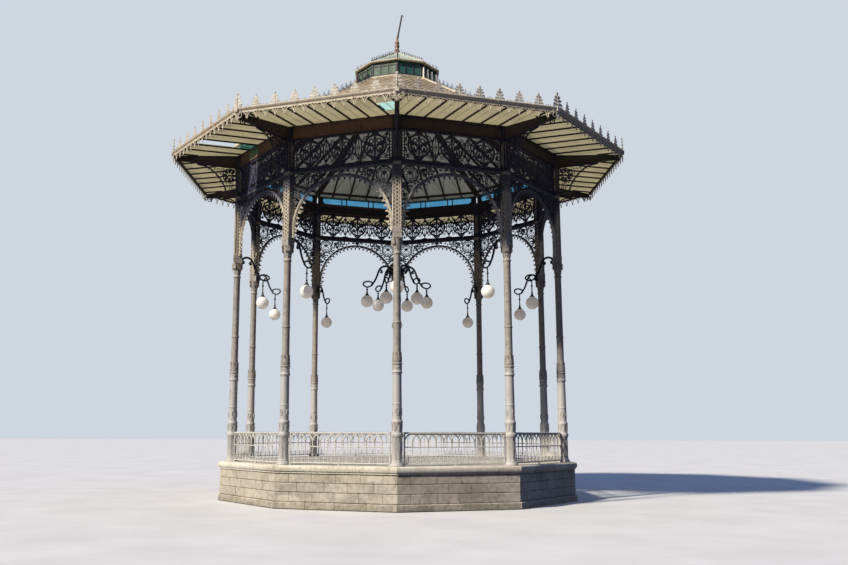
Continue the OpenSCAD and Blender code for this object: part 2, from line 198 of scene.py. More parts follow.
def bar(M, P, w, d, mp, closed=False, sec="hex", m=0, off=0.0):
    """Flat bar along the drawn path P: w wide in the drawing, d deep across it."""
    P = np.asarray(P, float)
    n = len(P)
    T = (np.roll(P, -1, 0) - np.roll(P, 1, 0)) if closed else np.gradient(P, axis=0)
    T = T / np.maximum(np.linalg.norm(T, axis=1), 1e-9)[:, None]
    N = np.stack([-T[:, 1], T[:, 0]], 1)
    w = np.broadcast_to(np.asarray(w, float), (n,)) * (M.k if sec in ("hex", "dia") else 1.0)
    d = np.broadcast_to(np.asarray(d, float), (n,))
    U, V = SECTIONS[sec]
    k = len(U)
    a = P[:, None, 0] + N[:, None, 0] * U[None] * w[:, None]
    b = P[:, None, 1] + N[:, None, 1] * U[None] * w[:, None]
    t = V[None] * d[:, None] + off
    v = mp(a, b, t).reshape(-1, 3)
    q = []
    for i in range(n if closed else n - 1):
        j = (i + 1) % n
        for s in range(k):
            r = (s + 1) % k
            q.append((i * k + s, i * k + r, j * k + r, j * k + s))
    if closed:
        M.add(v, q, m=m)
    else:
        M.add(v, q, [tuple(range(k))[::-1]], [tuple((n - 1) * k + s for s in range(k))], m=m)


def arc(cx, cy, r, a0, a1, n=12, ry=None):
    t = np.radians(np.linspace(a0, a1, n))
    return np.stack([cx + r * np.cos(t), cy + (r if ry is None else ry) * np.sin(t)], 1)


def spiral(cx, cy, r0, r1, a0, a1, n=18):
    t = np.linspace(0, 1, n)
    r = r0 + (r1 - r0) * t ** 0.8
    a = np.radians(a0 + (a1 - a0) * t)
    return np.stack([cx + r * np.cos(a), cy + r * np.sin(a)], 1)


def bez(p, n=10):
    p = np.asarray(p, float)
    t = np.linspace(0, 1, n)[:, None]
    while len(p) > 1:
        p = [(1 - t) * p[i] + t * p[i + 1] for i in range(len(p) - 1)]
    return p[0]


def mir(P, cx=0.0):
    P = np.array(P, float)
    P[:, 0] = 2 * cx - P[:, 0]
    return P


def scroll(M, cx, cy, r, a0, turns, w, d, mp, n=16, cw=False, sec="hex", boss=True):
    s = -1 if cw else 1
    P = spiral(cx, cy, r, r * 0.22, a0, a0 + s * 360 * turns, n)
    bar(M, P, np.linspace(w, w * 0.6, n), d, mp, sec=sec)
    if boss:
        dot(M, cx, cy, r * 0.3, d * 1.15, mp, 6)


def leaf(M, p, ang, L, W, d, mp, curl=0.0, n=6, sec="dia", blunt=False):
    """Leaf from p in direction ang (degrees), L long and W wide, bending by curl degrees."""
    t = np.linspace(0, 1, n)
    a = np.radians(ang + curl * t)
    st = np.diff(t, prepend=0)
    x = p[0] + np.cumsum(np.cos(a) * st) * L
    y = p[1] + np.cumsum(np.sin(a) * st) * L
    w = W * (np.sin(PI * (t * 0.86 + 0.12)) if not blunt else np.sin(PI * (t * 0.62 + 0.22)))
    w = np.maximum(w, W * 0.10)
    bar(M, np.stack([x, y], 1), w, d * (1 - 0.35 * t), mp, sec=sec)


def dot(M, x, y, r, d, mp, n=8):
    t = np.linspace(0, 2 * PI, n, endpoint=False)
    rings = [(r, 0.0), (r * 0.66, 0.5), (r, 0.0), (r * 0.66, -0.5)]
    a = np.concatenate([x + np.cos(t) * r, x + np.cos(t) * r * .62, x + np.cos(t) * r * .62])
    b = np.concatenate([y + np.sin(t) * r, y + np.sin(t) * r * .62, y + np.sin(t) * r * .62])
    e = np.concatenate([np.zeros(n), np.full(n, d / 2), np.full(n, -d / 2)])
    v = mp(a, b, e)
    q = []
    for i in range(n):
        j = (i + 1) % n
        q += [(i, j, n + j, n + i), (j, i, 2 * n + i, 2 * n + j)]
    M.add(v, q, [tuple(range(n, 2 * n)), tuple(range(3 * n - 1, 2 * n - 1, -1))])


def ring(M, x, y, r, w, d, mp, n=28, sec="hex"):
    bar(M, arc(x, y, r, 0, 360, n + 1)[:-1], w, d, mp, closed=True, sec=sec)


def inset(loop, c):
    """Loop (counter-clockwise) moved inwards by c."""
    P = np.asarray(loop, float)
    a = P - np.roll(P, 1, 0)
    b = np.roll(P, -1, 0) - P
    a /= np.maximum(np.linalg.norm(a, axis=1), 1e-9)[:, None]
    b /= np.maximum(np.linalg.norm(b, axis=1), 1e-9)[:, None]
    na, nb = np.stack([-a[:, 1], a[:, 0]], 1), np.stack([-b[:, 1], b[:, 0]], 1)
    m = na + nb
    k = np.maximum((m * na).sum(1), 0.35)
    return P + m / k[:, None] * c


def area(P):
    P = np.asarray(P, float)
    x, y = P[:, 0], P[:, 1]
    return 0.5 * float((x * np.roll(y, -1) - y * np.roll(x, -1)).sum())


def slab(M, outline, t0, t1, mp, holes=(), c=0.0, m=0):
    """Plate with holes: outline drawn, from depth t0 to t1, its edges chamfered by c."""
    loops = [np.asarray(outline, float)] + [np.asarray(h, float) for h in holes]
    loops = [l if (area(l) > 0) == (i == 0) else l[::-1] for i, l in enumerate(loops)]
    ins = [inset(l, c) if c else l for l in loops]
    tri = tessellate_polygon([[Vector((p[0], p[1], 0)) for p in l] for l in ins])
    n = sum(len(l) for l in loops)
    P, Q = np.concatenate(loops), np.concatenate(ins)
    if c:
        lay = [(Q, t0), (P, t0 + c), (P, t1 - c), (Q, t1)]
    else:
        lay = [(P, t0), (P, t1)]
    v = np.concatenate([mp(p[:, 0], p[:, 1], np.full(n, t)) for p, t in lay])
    q, base = [], 0
    for l in loops:
        k = len(l)
        for g in range(len(lay) - 1):
            for i in range(k):
                j = (i + 1) % k
                q.append((base + i + g * n, base + j + g * n, base + j + (g + 1) * n, base + i + (g + 1) * n))
        base += k
    top = (len(lay) - 1) * n
    a2 = [0.5 * ((Q[t[1]][0] - Q[t[0]][0]) * (Q[t[2]][1] - Q[t[0]][1]) - (Q[t[2]][0] - Q[t[0]][0]) * (Q[t[1]][1] - Q[t[0]][1])) for t in tri]
    up = [tuple(t) if s > 0 else tuple(t)[::-1] for t, s in zip(tri, a2)]
    M.add(v, q, [tuple(i + top for i in t) for t in up], [t[::-1] for t in up], m=m)


def lathe(M, prof, n=24, cx=0.0, cy=0.0, phase=0.0, m=0):
    prof = np.asarray(prof, float)
    t = np.linspace(0, 2 * PI, n, endpoint=False) + phase
    v = np.stack([cx + prof[:, None, 0] * np.cos(t)[None], cy + prof[:, None, 0] * np.sin(t)[None],
                  np.broadcast_to(prof[:, None, 1], (len(prof), n))], -1).reshape(-1, 3)
    q = []
    for i in range(len(prof) - 1):
        for s in range(n):
            r = (s + 1) % n
            q.append((i * n + s, i * n + r, (i + 1) * n + r, (i + 1) * n + s))
    M.add(v, q, [tuple(range(n))[::-1]], [tuple((len(prof) - 1) * n + s for s in range(n))], m=m)


def tube(M, P, r, n=8, m=0, closed=False):
    P = np.asarray(P, float)
    k = len(P)
    T = (np.roll(P, -1, 0) - np.roll(P, 1, 0)) if closed else np.gradient(P, axis=0)
    T /= np.maximum(np.linalg.norm(T, axis=1), 1e-9)[:, None]
    r = np.broadcast_to(np.asarray(r, float), (k,))
    up = np.array([0.0, 0, 1]) if abs(T[0][2]) < 0.9 else np.array([1.0, 0, 0])
    N = np.cross(T[0], up)
    N /= np.linalg.norm(N)
    t = np.linspace(0, 2 * PI, n, endpoint=False)
    v = []
    for i in range(k):
        N = N - T[i] * (N @ T[i])
        N /= np.linalg.norm(N)
        Bn = np.cross(T[i], N)
        v.append(P[i] + r[i] * (np.cos(t)[:, None] * N + np.sin(t)[:, None] * Bn))
    v = np.concatenate(v)
    q = []
    for i in range(k if closed else k - 1):
        j = (i + 1) % k
        for s in range(n):
            u = (s + 1) % n
            q.append((i * n + s, i * n + u, j * n + u, j * n + s))
    if closed:
        M.add(v, q, m=m)
    else:
        M.add(v, q, [tuple(range(n))[::-1]], [tuple((k - 1) * n + s for s in range(n))], m=m)


def block(M, lo, hi, c=0.004, m=0, mp=None):
    """Box with chamfered upright and level edges, in drawing axes (a, b) and depth t."""
    mp = mp or (lambda a, b, t: np.stack([a, b, t], -1))
    slab(M, [(lo[0], lo[1]), (hi[0], lo[1]), (hi[0], hi[1]), (lo[0], hi[1])], lo[2], hi[2], mp, c=c, m=m)


def run(M, prof, e0, e1, m=0, seg=1):
    """Moulding of section prof (distance from the centre, height) along one side of the plan.
    An end is a number, the x of a square joint, or ("m", gap) for a mitre at the corner."""
    prof = np.asarray(prof, float)
    k = len(prof)

    def end(e, s):
        return np.full(k, float(e)) if not isinstance(e, tuple) else s * (prof[:, 0] * T18 - e[1] / 2)
    x0, x1 = end(e0, -1), end(e1, 1)
    v = []
    for g in range(seg + 1):
        x = x0 + (x1 - x0) * g / seg
        v.append(np.stack([x, -prof[:, 0], prof[:, 1]], 1))
    v = np.concatenate(v)
    q = [(g * k + i, g * k + (i + 1) % k, (g + 1) * k + (i + 1) % k, (g + 1) * k + i) for g in range(seg) for i in range(k)]
    M.add(v, q, [tuple(range(k))[::-1]], [tuple(seg * k + i for i in range(k))], m=m)


def clip(poly, a, b, c):
    """Part of the convex polygon where a*x + b*y <= c."""
    out = []
    for i in range(len(poly)):
        p, q = poly[i], poly[(i + 1) % len(poly)]
        dp, dq = a * p[0] + b * p[1] - c, a * q[0] + b * q[1] - c
        if dp <= 0:
            out.append(p)
        if dp * dq < 0:
            s = dp / (dp - dq)
            out.append((p[0] + s * (q[0] - p[0]), p[1] + s * (q[1] - p[1])))
    return out


# ------------------------------------------------------------------ materials
def srgb(r, g, b):
    return tuple(((c / 255 + 0.055) / 1.055) ** 2.4 if c > 10.31 else c / 255 / 12.92 for c in (r, g, b)) + (1.0,)


class G:
    """Small helper that writes a node material."""

    def __init__(g, name):
        g.m = bpy.data.materials.new(name)
        g.m.use_nodes = True
        g.t = g.m.node_tree
        g.t.nodes.clear()
        g.out = g.t.nodes.new("ShaderNodeOutputMaterial")
        g.pos = g.t.nodes.new("ShaderNodeTexCoord").outputs["Object"]
        g.geo = g.t.nodes.new("ShaderNodeNewGeometry")

    def put(g, sock, x):
        if isinstance(x, bpy.types.NodeSocket):
            g.t.links.new(x, sock)
        elif x is not None:
            sock.default_value = x

    def mapped(g, scale=(1, 1, 1), rot=(0, 0, 0), loc=(0, 0, 0)):
        n = g.t.nodes.new("ShaderNodeMapping")
        g.t.links.new(g.pos, n.inputs["Vector"])
        n.inputs["Scale"].default_value = scale
        n.inputs["Rotation"].default_value = rot
        n.inputs["Location"].default_value = loc
        return n.outputs[0]

    def noise(g, scale, detail=5.0, rough=0.6, vec=None, dist=0.0):
        n = g.t.nodes.new("ShaderNodeTexNoise")
        g.put(n.inputs["Vector"], vec if vec is not None else g.pos)
        n.inputs["Scale"].default_value = scale
        n.inputs["Detail"].default_value = detail
        n.inputs["Roughness"].default_value = rough
        n.inputs["Distortion"].default_value = dist
        return n.outputs["Fac"]

    def cells(g, scale, vec=None, feature="F1", out="Distance", rnd=1.0):
        n = g.t.nodes.new("ShaderNodeTexVoronoi")
        n.feature = feature
        g.put(n.inputs["Vector"], vec if vec is not None else g.pos)
        n.inputs["Scale"].default_value = scale
        n.inputs["Randomness"].default_value = rnd
        return n.outputs[out]

    def wave(g, scale, vec=None, dist=0.0, axis="Z", detail=2.0):
        n = g.t.nodes.new("ShaderNodeTexWave")
        n.bands_direction = axis
        g.put(n.inputs["Vector"], vec if vec is not None else g.pos)
        n.inputs["Scale"].default_value = scale
        n.inputs["Distortion"].default_value = dist
        n.inputs["Detail"].default_value = detail
        return n.outputs["Fac"]

    def ramp(g, fac, *stops):
        n = g.t.nodes.new("ShaderNodeValToRGB")
        e = n.color_ramp.elements
        while len(e) < len(stops):
            e.new(0.5)
        for i, (p, c) in enumerate(stops):
            e[i].position = p
            e[i].color = c if len(c) == 4 else tuple(c) + (1.0,)
        g.put(n.inputs[0], fac)
        return n.outputs[0]

    def step(g, fac, a, b):
        n = g.t.nodes.new("ShaderNodeMapRange")
        g.put(n.inputs["Value"], fac)
        n.inputs["From Min"].default_value = a
        n.inputs["From Max"].default_value = b
        n.interpolation_type = "SMOOTHSTEP"
        return n.outputs[0]

    def mix(g, fac, a, b, blend="MIX"):
        n = g.t.nodes.new("ShaderNodeMix")
        n.data_type = "RGBA"
        n.blend_type = blend
        g.put(n.inputs[0], fac)
        g.put(n.inputs[6], a)
        g.put(n.inputs[7], b)
        return n.outputs[2]

    def f(g, op, a, b=None, clamp=False):
        n = g.t.nodes.new("ShaderNodeMath")
        n.operation = op
        n.use_clamp = clamp
        g.put(n.inputs[0], a)
        if b is not None:
            g.put(n.inputs[1], b)
        return n.outputs[0]

    def sep(g, v=None):
        n = g.t.nodes.new("ShaderNodeSeparateXYZ")
        g.put(n.inputs[0], v if v is not None else g.pos)
        return n.outputs

    def bump(g, h, strength=0.4, dist=0.01, normal=None):
        n = g.t.nodes.new("ShaderNodeBump")
        n.inputs["Strength"].default_value = strength
        n.inputs["Distance"].default_value = dist
        g.put(n.inputs["Height"], h)
        if normal is not None:
            g.put(n.inputs["Normal"], normal)
        return n.outputs[0]

    def done(g, base, rough, normal=None, metal=0.0, **kw):
        n = g.t.nodes.new("ShaderNodeBsdfPrincipled")
        g.put(n.inputs["Base Color"], base)
        g.put(n.inputs["Roughness"], rough)
        g.put(n.inputs["Metallic"], metal)
        if normal is not None:
            g.put(n.inputs["Normal"], normal)
        for k, x in kw.items():
            g.put(n.inputs[k.replace("_", " ")], x)
        g.t.links.new(n.outputs[0], g.out.inputs[0])
        g.b = n
        return g.m


def iron(name, main, second, rust=0.25, worn=None, wear=0.35, rough=(0.45, 0.75), fine=60.0, streak=True, low=None, high=None):
    """Old paint over cast iron: two tones, rust blooms and streaks, rubbed spots, and optionally a painted shade that
    darkens it above a height.
    """
    g = G(name)
    big = g.noise(1.7, 4, 0.6)
    mid = g.noise(9.0, 6, 0.65)
    small = g.noise(fine, 5, 0.7)
    col = g.mix(g.step(mid, 0.36, 0.66), main, second)
    if low is not None:
        z = g.sep()[2]
        col = g.mix(g.step(g.f("ADD", z, g.f("MULTIPLY", g.f("SUBTRACT", mid, 0.5), 0.5)), 3.35, 2.95), col, low)
    col = g.mix(g.f("MULTIPLY", g.step(small, 0.42, 0.62), 0.28), col, g.mix(1.0, col, (0.45, 0.42, 0.40, 1), "MULTIPLY"))
    if worn is not None:
        spots = g.f("MULTIPLY", g.step(g.noise(34.0, 6, 0.75), 0.52, 0.62), wear)
        col = g.mix(spots, col, worn)
    if high is not None:
        # painted shade: above the heights given in high, the paint is multiplied by a dark blue tint that stands for
        # the shade under the canopy
        z = g.sep()[2]
        col = g.mix(g.step(g.f("ADD", z, g.f("MULTIPLY", g.f("SUBTRACT", mid, 0.5), 0.35)), high[1], high[2]), col, g.mix(1.0, col, high[0], "MULTIPLY"))
    vec = g.mapped((1, 1, 0.16)) if streak else None
    rn = g.f("ADD", g.f("MULTIPLY", g.noise(13.0, 7, 0.72, vec), 0.7), g.f("MULTIPLY", big, 0.42))
    bloom = g.step(rn, 0.70 - 0.22 * rust, 0.82 - 0.18 * rust)
    rustc = g.ramp(small, (0.3, srgb(58, 30, 18)), (0.55, srgb(112, 62, 34)), (0.75, srgb(148, 92, 52)))
    col = g.mix(g.f("MULTIPLY", bloom, 0.85), col, rustc)
    h = g.f("ADD", g.f("MULTIPLY", small, 0.6), g.f("MULTIPLY", g.noise(fine * 3.1, 3, 0.6), 0.4))
    h = g.f("SUBTRACT", h, g.f("MULTIPLY", bloom, 0.35))
    ro = g.f("ADD", g.f("MULTIPLY", small, rough[1] - rough[0]), g.f("ADD", g.f("MULTIPLY", bloom, 0.22), rough[0]), clamp=True)
    return g.done(col, ro, g.bump(h, 0.35, 0.004))


def stone(name, a, b, c, scale=1.0, bump=0.6, moss=0.0):
    g = G(name)
    big = g.noise(1.3 * scale, 4, 0.6)
    mid = g.noise(11.0 * scale, 7, 0.7)
    fine = g.noise(95.0 * scale, 5, 0.75)
    bw = g.t.nodes.new("ShaderNodeRGBToBW")
    g.put(bw.inputs[0], g.cells(1.9 * scale, g.mapped((1, 1, 1.7)), out="Color"))
    blk = bw.outputs[0]
    col = g.ramp(mid, (0.25, c), (0.5, a), (0.75, b))
    col = g.mix(0.22, col, g.mix(1.0, col, blk, "OVERLAY"))
    col = g.mix(g.f("MULTIPLY", g.step(big, 0.42, 0.68), 0.45), col, g.mix(1.0, col, (0.62, 0.58, 0.52, 1), "MULTIPLY"))
    z = g.sep()[2]
    # darker towards the bottom of the stone, below about 0.1–0.4 m
    darker_low = g.f("MULTIPLY", g.step(g.f("ADD", z, g.f("MULTIPLY", mid, 0.35)), 0.42, 0.10), 0.55)
    col = g.mix(darker_low, col, g.mix(1.0, col, (0.42, 0.40, 0.33, 1), "MULTIPLY"))
    if moss:
        mk = g.f("MULTIPLY", g.step(g.noise(5.0, 8, 0.75), 0.56, 0.68), moss)
        col = g.mix(mk, col, srgb(96, 98, 62))
    pits = g.step(g.cells(70 * scale), 0.10, 0.28)
    h = g.f("ADD", g.f("MULTIPLY", mid, 0.9), g.f("ADD", g.f("MULTIPLY", fine, 0.35), g.f("MULTIPLY", pits, 0.25)))
    return g.done(col, g.f("ADD", g.f("MULTIPLY", fine, 0.2), 0.74), g.bump(h, bump, 0.012))


def sheet(name, a, b, dirt, rust=0.2, axis_scale=(1, 1, 1), rough=0.6, lines=0.0):
    g = G(name)
    big = g.noise(0.9, 4, 0.6)
    mid = g.noise(6.5, 7, 0.7, g.mapped(axis_scale))
    fine = g.noise(70, 5, 0.7)
    col = g.mix(g.step(mid, 0.34, 0.68), a, b)
    col = g.mix(g.f("MULTIPLY", g.step(big, 0.40, 0.66), 0.5), col, dirt)
    spots = g.f("MULTIPLY", g.step(g.noise(26, 8, 0.8), 0.60, 0.70), 0.5)
    col = g.mix(spots, col, g.mix(1.0, col, (0.4, 0.36, 0.30, 1), "MULTIPLY"))
    bloom = g.step(g.f("ADD", g.f("MULTIPLY", g.noise(17, 8, 0.75), 0.65), g.f("MULTIPLY", big, 0.4)), 0.70 - rust * 0.25, 0.80 - rust * 0.2)
    col = g.mix(g.f("MULTIPLY", bloom, 0.8), col, g.ramp(fine, (0.3, srgb(84, 46, 26)), (0.7, srgb(150, 96, 56))))
    h = g.f("ADD", g.f("MULTIPLY", mid, 0.5), g.f("MULTIPLY", fine, 0.4))
    return g.done(col, g.f("ADD", g.f("MULTIPLY", fine, 0.25), rough - 0.1, clamp=True), g.bump(h, 0.3, 0.006))


def timber(name, a, b, worn, rough=0.7):
    g = G(name)
    big = g.noise(1.1, 4, 0.6)
    grain = g.noise(5.0, 8, 0.7, g.mapped((6, 6, 1.2)), 0.6)
    fine = g.noise(110, 4, 0.7)
    col = g.ramp(grain, (0.3, a), (0.6, b), (0.85, worn))
    col = g.mix(g.f("MULTIPLY", g.step(big, 0.45, 0.7), 0.4), col, g.mix(1.0, col, (0.5, 0.48, 0.46, 1), "MULTIPLY"))
    chip = g.f("MULTIPLY", g.step(g.noise(21, 8, 0.8), 0.62, 0.68), 0.5)
    col = g.mix(chip, col, worn)
    h = g.f("ADD", g.f("MULTIPLY", grain, 0.7), g.f("MULTIPLY", fine, 0.3))
    return g.done(col, g.f("ADD", g.f("MULTIPLY", grain, 0.2), rough - 0.1), g.bump(h, 0.4, 0.004))


def glass(name, tint, tint2, solid=0.3, rough=0.12, dusty=0.35, dirt=None):
    """Tinted sheet that lets the light through: clear tint, with a dusty glossy layer over part of it."""
    g = G(name)
    big = g.noise(1.6, 4, 0.6)
    dust = g.noise(8.0, 8, 0.75, g.mapped((1, 1, 0.35)))
    fine = g.noise(90, 4, 0.7)
    col = g.mix(g.step(big, 0.35, 0.65), tint, tint2)
    dm = g.f("MULTIPLY", g.step(dust, 0.45, 0.72), dusty)
    m = g.done(g.mix(dm, col, dirt or srgb(196, 198, 186)), g.f("ADD", g.f("MULTIPLY", dust, 0.25), rough), g.bump(fine, 0.06, 0.002))
    tr = g.t.nodes.new("ShaderNodeBsdfTransparent")
    g.put(tr.inputs[0], col)
    mx = g.t.nodes.new("ShaderNodeMixShader")
    g.put(mx.inputs[0], g.f("ADD", g.f("MULTIPLY", dm, 0.6), solid, clamp=True))
    g.t.links.new(tr.outputs[0], mx.inputs[1])
    g.t.links.new(g.b.outputs[0], mx.inputs[2])
    g.t.links.new(mx.outputs[0], g.out.inputs[0])
    return m


def thin_sheet(name, a, b, dirt, through, share, axis_scale=(1, 1, 1), rust=0.12):
    """Weathered sheet that lets the sun through from behind; its base colour also glows by emission, painted light that
    lifts the sheet in shade.
    """
    m = sheet(name, a, b, dirt, rust, axis_scale)
    t = m.node_tree
    bs = next(n for n in t.nodes if n.type == "BSDF_PRINCIPLED")
    out = next(n for n in t.nodes if n.type == "OUTPUT_MATERIAL")
    # painted light: the base colour is fed into emission at 0.31, so the sheet glows as if sunlit from behind even in
    # shade
    t.links.new(bs.inputs["Base Color"].links[0].from_socket, bs.inputs["Emission Color"])
    bs.inputs["Emission Strength"].default_value = 0.31
    tl = t.nodes.new("ShaderNodeBsdfTranslucent")
    mu = t.nodes.new("ShaderNodeMix")
    mu.data_type = "RGBA"
    mu.blend_type = "MULTIPLY"
    mu.inputs[0].default_value = 0.55
    mu.inputs[6].default_value = through
    t.links.new(bs.inputs["Base Color"].links[0].from_socket, mu.inputs[7])
    t.links.new(mu.outputs[2], tl.inputs[0])
    mx = t.nodes.new("ShaderNodeMixShader")
    mx.inputs[0].default_value = share
    t.links.new(bs.outputs[0], mx.inputs[1])
    t.links.new(tl.outputs[0], mx.inputs[2])
    t.links.new(mx.outputs[0], out.inputs[0])
    return m


M_COLUMN = iron("column paint", srgb(164, 156, 144), srgb(140, 132, 122), 0.30, srgb(206, 196, 180), 0.4, (0.42, 0.72), low=srgb(182, 178, 172))
# painted shade: the post paint turns dark blue above 7.22–7.50 m, where the canopy shades the posts
M_POST = iron("post paint", srgb(180, 168, 150), srgb(158, 146, 128), 0.30, srgb(226, 218, 200), 0.4, (0.42, 0.72), high=((0.26, 0.29, 0.45, 1), 7.22, 7.50))
# painted shade: dark navy that stands for the shade the frieze, the upper posts and the canopy brackets lie in; the
# pale spots are wear
M_LATTICE_SHADED = iron("lattice paint", srgb(42, 46, 76), srgb(30, 33, 60), 0.30, srgb(142, 134, 124), 0.45, (0.42, 0.70))
# painted shade: the arch paint turns dark navy above 6.85–7.35 m, where the canopy shades the arches
M_ARCH = iron("arch paint", srgb(206, 196, 176), srgb(176, 168, 150), 0.30, srgb(228, 220, 200), 0.5, (0.42, 0.70), high=((0.18, 0.21, 0.35, 1), 6.85, 7.35))
# painted shade: a darker copy of the arch paint for the lace, turning dark blue above 6.75–7.20 m, where the canopy
# shades it
M_LACE = iron("spandrel paint", srgb(124, 118, 112), srgb(92, 88, 86), 0.32, srgb(206, 194, 170), 0.5, (0.42, 0.70), high=((0.21, 0.24, 0.40, 1), 6.75, 7.20))
M_RAIL = iron("railing paint", srgb(206, 204, 196), srgb(182, 178, 168), 0.32, srgb(225, 222, 212), 0.3)
M_DARK = iron("dark iron", srgb(50, 52, 62), srgb(34, 36, 46), 0.28, srgb(120, 114, 104), 0.3)
M_LAMP = iron("lamp iron", srgb(34, 37, 48), srgb(24, 27, 36), 0.20, srgb(96, 94, 92), 0.3, (0.30, 0.55))
M_RIDGE = iron("ridge iron", srgb(46, 44, 46), srgb(30, 29, 32), 0.42, srgb(110, 96, 84), 0.3)
M_FINIAL = iron("faded red paint", srgb(168, 126, 112), srgb(136, 98, 88), 0.45, srgb(204, 180, 164), 0.5)
M_ROD = iron("bare rod", srgb(40, 40, 46), srgb(28, 28, 34), 0.35, srgb(90, 84, 80), 0.25)
M_EAVES = iron("cream eaves paint", srgb(206, 192, 168), srgb(182, 166, 142), 0.42, srgb(226, 214, 188), 0.45, (0.5, 0.8), 45)
M_CREST = iron("cresting paint", srgb(206, 198, 182), srgb(164, 154, 138), 0.50, srgb(226, 216, 196), 0.5, (0.5, 0.8), 45)
M_FASCIA = timber("fascia boards", srgb(84, 60, 50), srgb(106, 80, 66), srgb(144, 120, 102))
# painted shade: the boards on the +X side, turned from the sun, get a darker copy of the fascia colours
M_FASCIA_SHADED_R = timber("fascia boards in painted shade", srgb(42, 34, 40), srgb(56, 46, 50), srgb(96, 82, 78))
# painted shade: a darker copy of the fascia timber for the inner faces, which lie in shade
M_FASCIA_SHADED_IN = timber("inner fascia boards", srgb(42, 36, 42), srgb(56, 46, 50), srgb(92, 78, 74))
M_TIMBER = timber("dark timber", srgb(40, 34, 32), srgb(58, 48, 44), srgb(96, 82, 70))
# painted shade: the hip beams get a near-black colour that stands for the shade they hang in
M_HIPBEAM_SHADED = timber("hip beam paint", srgb(50, 42, 46), srgb(68, 56, 56), srgb(118, 104, 94))
# painted light: the canopy boards and the pale sheet glow by emission through thin_sheet
M_BOARD = thin_sheet("canopy boards", srgb(204, 198, 172), srgb(186, 178, 150), srgb(160, 150, 122), srgb(250, 246, 226), 0.55, (3, 3, 1))
M_PALE = thin_sheet("pale sheet", srgb(226, 240, 234), srgb(210, 228, 224), srgb(196, 212, 206), srgb(236, 255, 250), 0.70, (3, 3, 1), 0.0)
M_UNDER = sheet("roof boarding", srgb(206, 208, 198), srgb(188, 192, 182), srgb(166, 168, 158), 0.06, (1, 1, 3))
# painted light: the roof boarding's base colour also glows by emission at 0.075, standing in for light on its underside
bs_ = next(n for n in M_UNDER.node_tree.nodes if n.type == "BSDF_PRINCIPLED")
M_UNDER.node_tree.links.new(bs_.inputs["Base Color"].links[0].from_socket, bs_.inputs["Emission Color"])
bs_.inputs["Emission Strength"].default_value = 0.075
M_SCALE = sheet("roof scales", srgb(184, 171, 146), srgb(158, 143, 120), srgb(134, 117, 96), 0.42, (1, 1, 1), 0.65)
M_CREAM = iron("lantern paint", srgb(212, 202, 176), srgb(186, 176, 148), 0.38, srgb(232, 226, 208), 0.5, (0.5, 0.8), 45)
M_LROOF = sheet("lantern roof", srgb(192, 202, 186), srgb(166, 176, 160), srgb(136, 144, 128), 0.22)
M_GLASS = glass("clerestory glass", srgb(158, 214, 238), srgb(174, 224, 242), 0.12, 0.14, 0.30)
M_LGLASS = glass("lantern glass", srgb(70, 132, 124), srgb(88, 146, 134), 0.45, 0.10, 0.25)
M_LPALE = glass("pale lantern glass", srgb(150, 172, 152), srgb(132, 162, 146), 0.34, 0.16, 0.50, srgb(150, 148, 118))
M_REMNANT = glass("broken sheet", srgb(150, 220, 206), srgb(172, 228, 214), 0.30, 0.3, 0.4)
M_PLINTH = stone("base stone", srgb(178, 168, 150), srgb(198, 190, 174), srgb(142, 132, 114), 1.0, 0.7, 0.3)
M_MORTAR = stone("mortar", srgb(140, 134, 122), srgb(158, 152, 140), srgb(112, 106, 96), 1.6, 0.5)
M_COPING = stone("coping stone", srgb(206, 198, 180), srgb(222, 216, 202), srgb(170, 160, 140), 1.2, 0.45)
M_PAVING = stone("paving", srgb(176, 170, 160), srgb(194, 188, 178), srgb(142, 136, 126), 1.1, 0.5)


def opal():
    g = G("opal glass")
    dust = g.noise(5.0, 6, 0.7)
    fine = g.noise(60, 5, 0.7)
    z = g.sep()[2]
    col = g.mix(g.f("MULTIPLY", g.step(dust, 0.42, 0.74), 0.40), srgb(252, 251, 247), srgb(226, 218, 202))
    streak = g.f("MULTIPLY", g.step(g.noise(16, 6, 0.7, g.mapped((1, 1, 0.12))), 0.55, 0.72), 0.35)
    col = g.mix(streak, col, srgb(186, 172, 150))
    m = g.done(col, g.f("ADD", g.f("MULTIPLY", fine, 0.2), 0.14), g.bump(fine, 0.03, 0.002), Coat_Weight=0.3, Coat_Roughness=0.12)
    tl = g.t.nodes.new("ShaderNodeBsdfTranslucent")
    g.put(tl.inputs[0], col)
    mx = g.t.nodes.new("ShaderNodeMixShader")
    g.put(mx.inputs[0], 0.26)
    # painted light: a faint warm emission lifts the globes that lie in shade
    g.put(g.b.inputs["Emission Color"], srgb(196, 178, 160))
    g.put(g.b.inputs["Emission Strength"], 0.20)
    g.t.links.new(g.b.outputs[0], mx.inputs[1])
    g.t.links.new(tl.outputs[0], mx.inputs[2])
    g.t.links.new(mx.outputs[0], g.out.inputs[0])
    return m


M_OPAL = opal()

rng = np.random.default_rng(11)

# ------------------------------------------------------------------ stone base
mp_plan = lambda a, b, t: np.stack([a, -b, t], -1)    # a across the side, b outwards, t up


def course(M, ap, z0, z1, depth, widths, gap=0.008, c=0.010, shift=0.0, m=0, jit=0.004):
    """One course of squared stones along a side whose face is ap from the centre."""
    half = ap * T18
    cuts = np.cumsum(np.r_[0, widths]) / sum(widths) * 2 * half - half
    for i in range(len(cuts) - 1):
        x0, x1 = cuts[i] + gap / 2, cuts[i + 1] - gap / 2
        f = ap + rng.uniform(-jit, jit * 0.3)
        inner = ap - depth
        lo = x0 if i else -(f * T18)
        hi = x1 if i < len(cuts) - 2 else f * T18
        lo_i = x0 if i else -(inner * T18)
        hi_i = x1 if i < len(cuts) - 2 else inner * T18
        slab(M, [(lo_i, inner), (lo, f), (hi, f), (hi_i, inner)][::-1], z0 + gap / 2, z1 - gap / 2, mp_plan, c=c, m=m)


